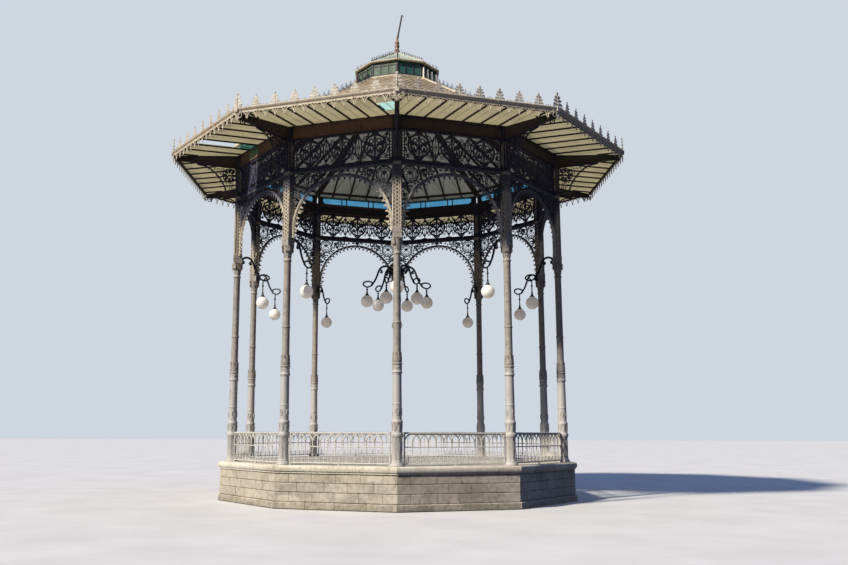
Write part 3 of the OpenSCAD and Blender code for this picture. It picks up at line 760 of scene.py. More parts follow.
base = Mesh()
ap_f = (4.730 - 0.020) * C18
ap_p = (4.730 - 0.060) * C18
for i in range(10):
    one = Mesh()
    course(one, ap_f - 0.002, 0.0, 0.160, 0.20, [1.1, 1, 1.05, 1], c=0.014)
    for k, (z0, z1) in enumerate(((0.160, 0.370), (0.370, 0.575), (0.575, 0.780))):
        w = [1, 1.15, 0.95, 1.1, 1] if k % 2 else [0.6, 1.1, 1, 1.15, 1, 0.6]
        w = [x * rng.uniform(0.92, 1.08) for x in w]
        course(one, ap_p - 0.002, z0, z1, 0.22, w, c=0.010)
    base.join(one, turn(18 + 36 * i))
core = Mesh()
lathe(core, [(4.640, 0.0), (4.640, 0.785)], 10, phase=-PI / 2)
base.join(core, m=1)
piece("base_masonry", base, [M_PLINTH, M_MORTAR], ["plinth"])

cop = Mesh()
a1 = 4.730 * C18
a0 = 4.070 * C18 + 0.004
for i in range(10):
    one = Mesh()
    half = a1 * T18
    n = 3
    cuts = [-half + 2 * half * k / n + (rng.uniform(-0.05, 0.05) if 0 < k < n else 0) for k in range(n + 1)]
    prof = [(a0, 0.782), (a1 - 0.034, 0.782), (a1 - 0.034, 0.818), (a1 - 0.012, 0.824), (a1 - 0.002, 0.842), (a1, 0.885),
            (a1 - 0.004, 0.922), (a1 - 0.018, 0.942), (a1 - 0.036, 0.949), (a0, 0.950)]
    for k in range(n):
        e0 = ("m", 0.006) if k == 0 else cuts[k] + 0.003
        e1 = ("m", 0.006) if k == n - 1 else cuts[k + 1] - 0.003
        run(one, prof, e0, e1)
    cop.join(one, turn(18 + 36 * i))
# the bed of the coping is a ring with an open middle
bedr = Mesh()
for i in range(10):
    one = Mesh()
    run(one, [(a0 + 0.01, 0.786), (a1 - 0.05, 0.786), (a1 - 0.05, 0.944), (a0 + 0.01, 0.944)], ("m", 0.0), ("m", 0.0))
    bedr.join(one, turn(18 + 36 * i))
cop.join(bedr, m=1)
piece("coping_stones", cop, [M_COPING, M_MORTAR], ["coping"])

flo = Mesh()
lathe(flo, [(4.060, 0.79), (4.060, 0.943)], 10, phase=-PI / 2, m=1)
for i in range(10):
    one = Mesh()
    rows = 8
    full = 4.062 * C18
    for k in range(rows):
        b0, b1 = full * k / rows + 0.004, full * (k + 1) / rows - 0.002
        if k == 0:
            b0 = 0.10
        n = max(1, round((b0 + b1) * T18 / 0.55))
        off = 0.5 if k % 2 else 0.0
        cuts = [-1 + 2 * j / n for j in range(n + 1)]
        for j in range(n):
            x0, x1 = cuts[j], cuts[j + 1]
            P = [(x0 * b0 * T18 + 0.004, b0), (x1 * b0 * T18 - 0.004, b0), (x1 * b1 * T18 - 0.004, b1), (x0 * b1 * T18 + 0.004, b1)]
            if P[1][0] - P[0][0] < 0.02:
                continue
            slab(one, P, 0.90, 0.950 - rng.uniform(0, 0.003), mp_plan, c=0.004)
    flo.join(one, turn(18 + 36 * i))
piece("floor_slabs", flo, [M_PAVING, M_MORTAR], ["floor"])

# ------------------------------------------------------------------ columns
def around_leaf(M, phi, prof, half_w, thick=0.008, ridge=0.010):
    """Leaf that follows prof (radius, height) at angle phi of the column, half_w wide at each point."""
    prof = np.asarray(prof, float)
    half_w = np.asarray(half_w, float)
    n = len(prof)
    c, s = math.cos(phi), math.sin(phi)
    v = []
    for k in range(n):
        r, z = prof[k]
        w = half_w[k]
        for rr, ww in ((r, -w), (r + ridge * min(1, w / 0.02), 0), (r, w), (r - thick, 0)):
            v.append((rr * c - ww * s, rr * s + ww * c, z))
    q = []
    for k in range(n - 1):
        for j in range(4):
            l = (j + 1) % 4
            q.append((k * 4 + j, k * 4 + l, (k + 1) * 4 + l, (k + 1) * 4 + j))
    M.add(v, q, [(3, 2, 1, 0)], [tuple((n - 1) * 4 + j for j in range(4))])


def column():
    M = Mesh()
    # round foot
    lathe(M, [(0.146, FLOOR), (0.152, FLOOR + 0.006), (0.152, FLOOR + 0.040), (0.147, FLOOR + 0.050), (0.138, FLOOR + 0.056),
              (0.140, FLOOR + 0.066), (0.132, FLOOR + 0.078), (0.126, FLOOR + 0.082), (0.122, FLOOR + 0.090)], 32)
    # eight-sided pedestal with arched panels
    lathe(M, [(0.128, FLOOR + 0.085), (0.128, FLOOR + 0.115), (0.118, FLOOR + 0.125), (0.115, 1.545), (0.122, 1.556), (0.122, 1.575)], 8, phase=PI / 8)
    for k in range(8):
        ph = k * PI / 4
        ap = 0.1155 * math.cos(PI / 8)
        mp = mp_aff((ap * math.cos(ph), ap * math.sin(ph), 0), (-math.sin(ph), math.cos(ph), 0), (0, 0, 1), (math.cos(ph), math.sin(ph), 0))
        top = arc(0, 1.455, 0.028, 0, 180, 7)
        P = np.concatenate([[(0.028, 1.120)], top, [(-0.028, 1.120)]])
        bar(M, np.concatenate([P, [(-0.012, 1.098), (0.012, 1.098)]]), 0.009, 0.012, mp, closed=True, sec="dia")
        leaf(M, (0, 1.14), 90, 0.16, 0.026, 0.010, mp, n=5)
        leaf(M, (0, 1.34), 90, 0.12, 0.022, 0.010, mp, n=5)
        dot(M, 0, 1.325, 0.012, 0.016, mp, 6)
    # mouldings up to the oval medallions and the shaft
    lathe(M, [(0.120, 1.565), (0.132, 1.590), (0.136, 1.605), (0.135, 1.640), (0.130, 1.655), (0.124, 1.662), (0.119, 1.676),
              (0.115, 1.700), (0.112, 1.745), (0.111, 1.800), (0.113, 1.848), (0.119, 1.862), (0.122, 1.876), (0.126, 1.890),
              (0.127, 1.905), (0.124, 1.922), (0.117, 1.936), (0.110, 1.943), (0.106, 1.955), (0.104, 1.990), (0.104, 2.008), (0.103, 2.266), (0.103, 2.285),
              (0.108, 2.292), (0.108, 2.306), (0.103, 2.313), (0.1028, 2.332), (0.0982, 2.88), (0.098, 2.90), (0.097, 2.936), (0.103, 2.944), (0.103, 2.956),
              (0.100, 2.962), (0.112, 2.972), (0.118, 2.982), (0.119, 2.995), (0.117, 3.008), (0.108, 3.018), (0.105, 3.030), (0.105, 3.045),
              (0.104, 3.130), (0.104, 3.145), (0.108, 3.158), (0.117, 3.167), (0.119, 3.180), (0.116, 3.193), (0.104, 3.202), (0.094, 3.212),
              (0.089, 3.230), (0.087, 3.430), (0.086, 4.070), (0.092, 4.076), (0.097, 4.088), (0.097, 4.108), (0.092, 4.120),
              (0.085, 4.127), (0.082, 5.630), (0.084, 5.641), (0.094, 5.650), (0.098, 5.662), (0.098, 5.676), (0.094, 5.690),
              (0.084, 5.700), (0.080, 5.712), (0.079, 5.800), (0.080, 5.822), (0.083, 5.846), (0.088, 5.866), (0.090, 5.885),
              (0.089, 5.918), (0.086, 5.940), (0.083, 5.955), (0.083, 5.965), (0.090, 5.982), (0.100, 5.998), (0.105, 6.014)], 26)
    for k in range(8):
        ph = k * PI / 4 + PI / 8
        # leaves over the pedestal
        around_leaf(M, ph, [(0.112, 1.69), (0.116, 1.74), (0.119, 1.80), (0.126, 1.845), (0.132, 1.858)], [0.018, 0.028, 0.028, 0.016, 0.004])
        # ring of leaves over the middle band, opening upwards
        around_leaf(M, ph, [(0.100, 3.205), (0.106, 3.25), (0.102, 3.32), (0.098, 3.38), (0.106, 3.43), (0.114, 3.445)], [0.016, 0.030, 0.031, 0.024, 0.014, 0.003])
        around_leaf(M, ph + PI / 8, [(0.098, 3.205), (0.101, 3.25), (0.098, 3.31), (0.100, 3.345), (0.108, 3.36)], [0.012, 0.026, 0.024, 0.012, 0.003])
        # capital
        around_leaf(M, ph, [(0.082, 5.775), (0.084, 5.82), (0.091, 5.87), (0.097, 5.91), (0.104, 5.925), (0.106, 5.912)], [0.020, 0.030, 0.034, 0.028, 0.014, 0.003])
        around_leaf(M, ph + PI / 8, [(0.080, 5.735), (0.083, 5.78), (0.087, 5.82), (0.094, 5.842), (0.098, 5.832)], [0.016, 0.026, 0.026, 0.014, 0.003])
    for k in range(4):
        # corner leaves that curl out under the block
        ph = k * PI / 2 + PI / 4
        around_leaf(M, ph, [(0.080, 5.838), (0.104, 5.850), (0.128, 5.876), (0.136, 5.915), (0.127, 5.940), (0.132, 5.962), (0.141, 5.990), (0.144, 6.012), (0.140, 6.028)], [0.020, 0.040, 0.054, 0.054, 0.044, 0.052, 0.046, 0.034, 0.014], 0.050, 0.008)
        around_leaf(M, ph - PI / 4, [(0.080, 5.830), (0.098, 5.862), (0.101, 5.93), (0.106, 5.985), (0.112, 6.008), (0.112, 5.996)], [0.020, 0.038, 0.034, 0.034, 0.024, 0.008], 0.020, 0.008)
    for k in range(4):
        ph = k * PI / 2
        mp = mp_aff((0.1035 * math.cos(ph), 0.1035 * math.sin(ph), 0), (-math.sin(ph), math.cos(ph), 0), (0, 0, 1), (math.cos(ph), math.sin(ph), 0))
        bar(M, arc(0, 2.125, 0.034, 0, 360, 15, ry=0.076)[:-1], 0.012, 0.016, mp, closed=True)
        dot(M, 0, 2.125, 0.017, 0.018, mp, 8)
        for sy in (-1, 1):
            leaf(M, (0, 2.125 + sy * 0.02), sy * 90, 0.045, 0.018, 0.012, mp, n=4)
        # small flowers on the middle band
        mpb = mp_aff((0.105 * math.cos(ph), 0.105 * math.sin(ph), 0), (-math.sin(ph), math.cos(ph), 0), (0, 0, 1), (math.cos(ph), math.sin(ph), 0))
        dot(M, 0, 3.088, 0.016, 0.020, mpb, 6)
        for a in range(6):
            leaf(M, (0, 3.088), 60 * a + 30, 0.042, 0.020, 0.012, mpb, n=4)
    # square cap block with a cyma edge
    for h, z0, z1, c in ((0.096, 6.008, 6.024, 0.003), (0.106, 6.022, 6.050, 0.005), (0.104, 6.046, 6.150, 0.005), (0.108, 6.148, 6.180, 0.004), (0.104, 6.178, 6.215, 0.004), (0.107, 6.213, 6.240, 0.004), (0.099, 6.238, 6.292, 0.004)):
        block(M, (-h, -h, z0), (h, h, z1), c)
    # pierced post: four plates round a hollow
    hw = 0.088
    z0, z1 = 6.215, 7.830
    nd = 17
    pitch = 0.088
    zs = [6.288 + pitch * k for k in range(nd)]
    for k in range(4):
        ph = k * PI / 2
        mp = mp_aff((hw * math.cos(ph), hw * math.sin(ph), 0), (-math.sin(ph), math.cos(ph), 0), (0, 0, 1), (math.cos(ph), math.sin(ph), 0))
        holes = [[(-0.030, z), (0, z - 0.036), (0.030, z), (0, z + 0.036)] for z in zs]
        for z in zs[:-1]:
            zm = z + pitch / 2
            for s in (-1, 1):
                holes.append([(s * 0.070, zm - 0.031), (s * 0.070, zm + 0.031), (s * 0.037, zm)])
        slab(M, [(-hw + 0.001, z0), (hw - 0.001, z0), (hw - 0.001, z1), (-hw + 0.001, z1)], -0.012, 0.0, mp, holes=holes, m=1)
        # beads along the corners
        e = hw * 1.01
        cxp, cyp = (e * math.cos(ph) - e * math.sin(ph)), (e * math.sin(ph) + e * math.cos(ph))
        tube(M, [(cxp, cyp, z0), (cxp, cyp, (z0 + z1) / 2), (cxp, cyp, z1)], 0.0105, 6, m=1)
        # collar below the frieze
        block(M, (-hw - 0.010, 7.752, -0.004), (hw + 0.010, 7.826, 0.010), 0.004, mp=mp)
        block(M, (-hw - 0.006, 6.215, -0.004), (hw + 0.006, 6.240, 0.008), 0.003, mp=mp)
    # plain post beside the frieze and up to the beams
    h2 = 0.085
    # painted shade: this part of the post takes the navy lattice material (index 2), which stands for the shade under
    # the canopy
    block(M, (-h2, -h2, 7.826), (h2, h2, 8.958), 0.006, m=2)
    for k in range(4):
        ph = k * PI / 2
        mp = mp_aff((h2 * math.cos(ph), h2 * math.sin(ph), 0), (-math.sin(ph), math.cos(ph), 0), (0, 0, 1), (math.cos(ph), math.sin(ph), 0))
        bar(M, [(-0.042, 7.93), (0.042, 7.93), (0.042, 8.56), (-0.042, 8.56)], 0.012, 0.012, mp, closed=True, sec="dia")
        leaf(M, (0, 7.96), 90, 0.27, 0.034, 0.010, mp, n=6)
        leaf(M, (0, 8.53), -90, 0.27, 0.034, 0.010, mp, n=6)
        dot(M, 0, 8.245, 0.020, 0.018, mp, 8)
        block(M, (-h2 - 0.010, 7.826, -0.004), (h2 + 0.010, 7.900, 0.010), 0.004, mp=mp, m=2)
        block(M, (-h2 - 0.010, 8.600, -0.004), (h2 + 0.010, 8.650, 0.010), 0.004, mp=mp, m=2)
    return M


COL = column()
for i in range(10):
    one = Mesh()
    one.join(COL, np.hstack([np.eye(3), [[0], [-R], [0]]]))
    w = Mesh()
    w.join(one, turn(36 * i))
    piece("iron_column_%02d" % (i + 1), w, [M_COLUMN, M_POST, M_LATTICE_SHADED], ["column_%02d" % (i + 1)])


# ------------------------------------------------------------------ arches
def palm(M, x, y, r, mp, w=0.016, d=0.024, up=90):
    """Palmette in a circle: stem, curling side leaves and a fan at the top."""
    ca, sa = math.cos(math.radians(up - 90)), math.sin(math.radians(up - 90))

    def to(P):
        P = np.asarray(P, float) * r
        return np.stack([x + P[:, 0] * ca - P[:, 1] * sa, y + P[:, 0] * sa + P[:, 1] * ca], 1)
    n = 9
    bar(M, to(bez([(0, -0.95), (0.03, -0.4), (0, 0.05)], 5)), w, d, mp, sec="dia")
    for s in (-1, 1):
        P = bez([(0, -0.72), (s * 0.55, -0.75), (s * 0.92, -0.20), (s * 0.62, 0.22), (s * 0.30, 0.05), (s * 0.40, -0.18)], 11)
        bar(M, to(P), np.linspace(w * 1.5, w * 0.8, 11), d, mp, sec="dia")
        q = to([(s * 0.42, -0.10)])[0]
        dot(M, q[0], q[1], r * 0.10, d, mp, 6)
        P = bez([(0, -0.05), (s * 0.30, 0.25), (s * 0.62, 0.45), (s * 0.55, 0.72)], 7)
        bar(M, to(P), w * np.array([1.2, 2.0, 2.2, 2.0, 1.6, 1.1, 0.5]), d, mp, sec="dia")
        P = bez([(0, 0.05), (s * 0.16, 0.35), (s * 0.34, 0.62), (s * 0.22, 0.90)], 7)
        bar(M, to(P), w * np.array([1.0, 1.5, 1.7, 1.6, 1.3, 0.9, 0.4]), d, mp, sec="dia")
    P = bez([(0, 0.0), (0, 0.5), (0, 0.98)], 6)
    bar(M, to(P), w * np.array([1.2, 2.0, 2.2, 1.9, 1.3, 0.4]), d, mp, sec="dia")


def curlet(M, x, y, r, ang, mp, w, d, cw=False):
    """Small leafy curl: one turn of a spiral with a leaf at its tail."""
    s = -1 if cw else 1
    bar(M, spiral(x, y, r, r * 0.25, ang, ang + s * 330, 8), np.linspace(w, w * 0.7, 8), d, mp)
    t = math.radians(ang)
    leaf(M, (x + r * math.cos(t), y + r * math.sin(t)), ang - s * 60, r * 1.1, w * 1.5, d * 0.9, mp, curl=-s * 50, n=4)


def arch():
    M = Mesh()
    M.k = 1.55
    mp = mp_bay()
    rm = ARCH_R + 0.026
    z9 = CAP + 0.200
    P = np.concatenate([[(rm, z9), (rm, 6.30)], arc(0, ARCH_Z, rm, 0, 180, 49), [(-rm, 6.30), (-rm, z9)]])
    bar(M, P, 0.052, 0.056, mp, sec="cham")
    for o in (-0.027, 0.027):
        bar(M, P[1:-1] * 1.0, 0.012, 0.014, mp, sec="dia", off=o * 1.1)
    # top rail with mouldings
    w = HS - POST / 2 - 0.004
    bar(M, [(-w, 7.800), (0, 7.800), (w, 7.800)], 0.052, 0.060, mp, sec="cham")
    bar(M, [(-w, 7.779), (0, 7.779), (w, 7.779)], 0.014, 0.074, mp, sec="hex")
    for s in (-1, 1):
        bar(M, [(s * 1.254, 6.42), (s * 1.254, 7.1), (s * 1.254, 7.786)], 0.024, 0.036, mp, sec="cham")
    # toothed fringe under the arch
    n = 27
    step = 180.0 / n
    for k in range(n):
        a0_ = k * step
        q = []
        for j in range(7):
            a = math.radians(a0_ + step * (0.02 + 0.96 * j / 6))
            rr = ARCH_R - 0.010 - 0.036 * (1 - math.sin(PI * j / 6))
            q.append((rr * math.cos(a), ARCH_Z + rr * math.sin(a)))
        bar(M, q, 0.016, 0.022, mp, sec="dia")
    for k in range(n + 1):
        a = math.radians(k * step)
        r1 = ARCH_R - 0.020
        p = (r1 * math.cos(a), ARCH_Z + r1 * math.sin(a))
        leaf(M, p, k * step + 180, 0.088, 0.029, 0.024, mp, curl=0, n=5)
        p2 = ((r1 - 0.022) * math.cos(a), ARCH_Z + (r1 - 0.022) * math.sin(a))
        for s in (-1, 1):
            leaf(M, p2, k * step + 180 + s * 58, 0.044, 0.018, 0.018, mp, curl=-s * 60, n=4)
    for s in (-1, 1):
        for z in (6.29, 6.37):
            leaf(M, (s * (ARCH_R + 0.002), z), 90 + s * 90, 0.072, 0.030, 0.022, mp, n=4)
    # spandrels
    fill = np.random.default_rng(5)
    spots = []
    L = Mesh()
    L.k = 1.7
    for gx in np.arange(0.17, 1.24, 0.068):
        for gz in np.arange(6.36, 7.78, 0.066):
            x, z = gx + fill.uniform(-0.018, 0.018), gz + fill.uniform(-0.018, 0.018)
            ro = math.hypot(x, z - ARCH_Z)
            if z < ARCH_Z and x < ARCH_R + 0.085:
                continue
            if ro < ARCH_R + 0.080 or x > 1.222 or z > 7.750 or math.hypot(x - 1.045, z - 7.560) < 0.235:
                continue
            spots.append((x, z, fill.uniform(0.024, 0.033), fill.uniform(0, 360), fill.uniform() < 0.5))
    for s in (-1, 1):
        for x, z, r, a, cw in spots:
            curlet(L, s * x, z, r, a if s > 0 else 180 - a, mp, 0.0165, 0.022, cw=cw == (s > 0))
            dot(L, s * x, z, 0.011, 0.020, mp, 4)
        cx, cy, r = s * 1.045, 7.560, 0.196
        ring(L, cx, cy, r, 0.022, 0.034, mp, 26)
        ring(L, cx, cy, r * 0.76, 0.014, 0.020, mp, 20, "dia")
        palm(L, cx, cy, r * 0.74, mp, 0.0085, 0.022)
        for a in range(0, 360, 36):
            t = math.radians(a + 18)
            dot(L, cx + r * 0.89 * math.cos(t), cy + r * 0.89 * math.sin(t), 0.017, 0.028, mp, 6)
        vol = [(0.715, 7.655, 0.088, 200, 1), (0.540, 7.702, 0.054, 20, 0), (1.160, 7.245, 0.082, 90, 0), (1.190, 7.070, 0.052, 270, 1)]
        for x, y, rr, a0_, cw in vol:
            aa = a0_ if s > 0 else 180 - a0_
            scroll(L, s * x, y, rr, aa, 1.35, 0.016, 0.028, mp, n=18, cw=bool(cw) == (s > 0))
    # ornament at the crown
    leaf(M, (0, 7.785), -90, 0.13, 0.050, 0.030, mp, n=6)
    for s in (-1, 1):
        leaf(M, (0, 7.770), -90 + s * 40, 0.11, 0.034, 0.024, mp, curl=s * 30, n=5)
        leaf(M, (s * 0.10, 7.770), -90 + s * 20, 0.07, 0.030, 0.022, mp, curl=s * 30, n=4)
    return M, L


ARCH, LACE = arch()
for i in range(10):
    w = Mesh()
    w.join(ARCH, turn(18 + 36 * i))
    w.join(LACE, turn(18 + 36 * i), m=1)
    piece("arch_casting_%02d" % (i + 1), w, [M_ARCH, M_LACE], ["arch_%02d" % (i + 1)])


# ------------------------------------------------------------------ frieze
def knot(M, cx, zc, mp):
    """Rosette of the frieze: a broad ring round two loops, two smaller loops, a stem and small leaves."""
    ring(M, cx, zc, 0.268, 0.029, 0.036, mp, 36)
    for s in (-1, 1):
        ring(M, cx + s * 0.118, zc - 0.060, 0.078, 0.022, 0.030, mp, 20)
        dot(M, cx + s * 0.118, zc - 0.060, 0.026, 0.032, mp, 8)
        ring(M, cx + s * 0.092, zc + 0.122, 0.052, 0.019, 0.028, mp, 16)
        leaf(M, (cx + s * 0.020, zc + 0.015), 90 - s * 82, 0.20, 0.036, 0.026, mp, curl=s * 20, n=5)
        leaf(M, (cx + s * 0.16, zc + 0.01), 90 - s * 30, 0.13, 0.030, 0.026, mp, curl=s * 20, n=5)
        leaf(M, (cx + s * 0.05, zc - 0.150), 90 - s * 70, 0.13, 0.032, 0.026, mp, curl=s * 40, n=5)
        for a in (24, -12, -48):
            t = math.radians(a)
            dot(M, cx + s * 0.222 * math.cos(t), zc + 0.222 * math.sin(t), 0.018, 0.030, mp, 6)
        for x, z, r in ((0.192, 0.085, 0.030), (0.200, -0.165, 0.026), (0.075, -0.185, 0.030), (0.245, 0.225, 0.036), (0.252, -0.235, 0.034)):
            ring(M, cx + s * x, zc + z, r, 0.012, 0.024, mp, 9, "dia")
    bar(M, [(cx, zc - 0.26), (cx, zc - 0.10), (cx, zc + 0.04), (cx, zc + 0.20)], [0.022, 0.030, 0.026, 0.018], 0.030, mp)
    leaf(M, (cx, zc + 0.14), 90, 0.12, 0.044, 0.030, mp, n=5)


def frieze_bay():
    M = Mesh()
    M.k = 1.88
    mp = mp_bay()
    w = HS - POST / 2 - 0.006
    z0, z1 = FRZ0 + 0.090, 8.611
    zc = 8.268
    # lower rail with mouldings, upper rail
    bar(M, [(-w, 7.873), (0, 7.873), (w, 7.873)], 0.080, 0.052, mp, sec="cham")
    for zz in (7.842, 7.905):
        bar(M, [(-w, zz), (0, zz), (w, zz)], 0.014, 0.070, mp)
    bar(M, [(-w, 8.631), (0, 8.631), (w, 8.631)], 0.040, 0.040, mp, sec="cham")
    bar(M, [(-w, 8.610), (0, 8.610), (w, 8.610)], 0.012, 0.056, mp)
    for k in range(-12, 13):
        dot(M, k * 0.1, 7.873, 0.016, 0.064, mp, 6)
    # end strips with slots
    for s in (-1, 1):
        bar(M, [(s * 1.248, z0), (s * 1.248, 8.25), (s * 1.248, z1)], 0.034, 0.036, mp, sec="cham")
        bar(M, [(s * 1.176, z0), (s * 1.176, 8.25), (s * 1.176, z1)], 0.022, 0.028, mp, sec="cham")
        for zz in np.linspace(z0 + 0.04, z1 - 0.04, 9):
            bar(M, [(s * 1.176, zz), (s * 1.215, zz), (s * 1.250, zz)], 0.014, 0.020, mp, sec="dia")
    for cx in (-0.82, 0.0, 0.82):
        knot(M, cx, zc, mp)
        for zz, dr in ((z0, 1), (z1, -1)):
            bar(M, [(cx, zz), (cx, (zz + zc + dr * -0.27) / 2), (cx, zc - dr * 0.27)], 0.026, 0.028, mp)
            for s in (-1, 1):
                leaf(M, (cx + s * 0.015, zz + dr * 0.012), 90 * dr - s * dr * 66, 0.15, 0.032, 0.024, mp, curl=s * dr * 34, n=5)
    for x in (-0.615, -0.205, 0.205, 0.615):
        s = 1 if x in (-0.615, 0.205) else -1
        for dr in (-1, 1):
            leaf(M, (x - s * 0.085, zc + dr * 0.02), 90 * dr, 0.13, 0.026, 0.024, mp, curl=-s * dr * 30, n=5)
    for cx in (-0.41, 0.41):
        t = np.linspace(0, 2 * PI, 25)[:-1]
        P = np.stack([cx + 0.080 * np.sin(t) * (0.55 + 0.45 * np.abs(np.sin(t))), zc + 0.270 * np.cos(t)], 1)
        bar(M, P, 0.020, 0.032, mp, closed=True)
        lz = [(cx, zc - 0.15), (cx + 0.034, zc), (cx, zc + 0.15), (cx - 0.034, zc)]
        bar(M, lz, 0.014, 0.024, mp, closed=True, sec="dia")
        dot(M, cx, zc, 0.022, 0.032, mp, 6)
        for dr in (-1, 1):
            bar(M, [(cx, zc + dr * 0.15), (cx, zc + dr * 0.22), (cx, zc + dr * 0.345)], 0.016, 0.024, mp, sec="dia")
            for s in (-1, 1):
                leaf(M, (cx + s * 0.066, zc + dr * 0.10), 90 * dr - s * dr * 10, 0.12, 0.028, 0.022, mp, curl=-s * dr * 25, n=4)
                leaf(M, (cx, zc + dr * 0.335), 90 - s * 90 + dr * s * 24, 0.10, 0.026, 0.022, mp, curl=-dr * s * 30, n=4)
        for s in (-1, 1):
            dot(M, cx + s * 0.100, zc, 0.028, 0.036, mp, 8)
            for dr in (-1, 1):
                curlet(M, cx + s * 0.110, zc + dr * 0.130, 0.030, 90 * dr, mp, 0.013, 0.022, cw=s * dr > 0)
    for s in (-1, 1):
        dot(M, s * 1.136, zc, 0.026, 0.036, mp, 8)
        for dr in (-1, 1):
            scroll(M, s * 1.105, zc + dr * 0.272, 0.046, 90 - s * 90, 1.2, 0.014, 0.024, mp, n=13, cw=(s * dr) > 0)
            leaf(M, (s * 1.150, zc + dr * 0.06), 90 * dr, 0.15, 0.028, 0.022, mp, curl=s * dr * 20, n=5)
    return M


# painted shade: the frieze takes the navy lattice material
piece("frieze_panels", around(frieze_bay(), 18), M_LATTICE_SHADED, ["frieze"])


# ------------------------------------------------------------------ ring beam
def beam_bay(mo=0):
    M = Mesh()
    hl = HS - POST / 2 - 0.004
    for o, a in ((0.0, 1), (0, -1)):
        f = A + a * 0.040
        g = A
        # boards on both faces, three lengths with open joints in pairs
        cuts = [-hl, -0.47, -0.41, 0.41, 0.47, hl]
        for k in range(5):
            x0, x1 = cuts[k] + 0.003, cuts[k + 1] - 0.003
            lo, hi = (min(f, g), max(f, g))
            # outer faces take material mo; inner faces take the darker inner copy (index 1), a painted shade
            slab(M, [(x0, lo), (x1, lo), (x1, hi), (x0, hi)], FRZ1 + 0.002, BEAM - 0.002, mp_plan, c=0.005, m=mo if a > 0 else 1)
    for z0, z1, o in ((FRZ1 + 0.001, FRZ1 + 0.030, 0.052), (FRZ1 + 0.030, FRZ1 + 0.044, 0.046), (BEAM - 0.040, BEAM - 0.003, 0.054), (BEAM - 0.062, BEAM - 0.040, 0.047)):
        slab(M, [(-hl, A - o), (hl, A - o), (hl, A + o), (-hl, A + o)], z0, z1, mp_plan, c=0.004, m=mo)
    return M


beams = Mesh()
for i in range(10):
    # painted shade: bays on the +X side take the darker fascia copy (index 2)
    beams.join(beam_bay(2 if i < 5 else 0), turn(18 + 36 * i))
piece("ring_beam_boards", beams, [M_FASCIA, M_FASCIA_SHADED_IN, M_FASCIA_SHADED_R], ["ring_beam"])


# ------------------------------------------------------------------ canopy: hip beams, brackets, ribs, boards
def z_hip(r):
    """Underside of the boards along a hip, r from the centre."""
    return CAN_Z - (r * C18 - A) / (AE - A) * FALL


def hipbeam():
    M = Mesh()
    mp = mp_rad()
    r0, r1 = R + POST / 2 - 0.012, RE - 0.066
    top = [(r, z_hip(r) - 0.016) for r in np.linspace(r0, r1, 6)]
    low = [(r1, 8.704), (r1 - 0.10, 8.696), (R + 1.30, 8.690), (R + 1.10, 8.672), (R + 0.55, 8.646), (r0, 8.630)]
    slab(M, top[::-1] + low[::-1], -0.041, 0.041, mp, c=0.006)
    L = np.array(low[::-1])
    for o in (-0.046, 0.046):
        bar(M, L + [0, 0.014], 0.026, 0.016, mp, sec="hex", off=o)
        bar(M, L + [0, 0.060], 0.012, 0.010, mp, sec="hex", off=o * 0.9)
        T = np.array(top)
        bar(M, T - [0, 0.022], 0.034, 0.016, mp, sec="hex", off=o)
    bar(M, L + [0, -0.004], 0.016, 0.106, mp, sec="cham")
    # ring and forked strap behind the gutter corner
    ring(M, RE - 0.16, 8.640, 0.062, 0.018, 0.026, mp, 18)
    dot(M, RE - 0.16, 8.640, 0.022, 0.030, mp, 8)
    bar(M, bez([(RE - 0.30, 8.700), (RE - 0.26, 8.62), (RE - 0.20, 8.60)], 7), 0.016, 0.022, mp, sec="dia")
    bar(M, bez([(RE - 0.06, 8.700), (RE - 0.07, 8.64), (RE - 0.11, 8.61)], 7), 0.016, 0.022, mp, sec="dia")
    return M


piece("hip_beams", around(hipbeam(), 0), M_HIPBEAM_SHADED, ["canopy_beams"])


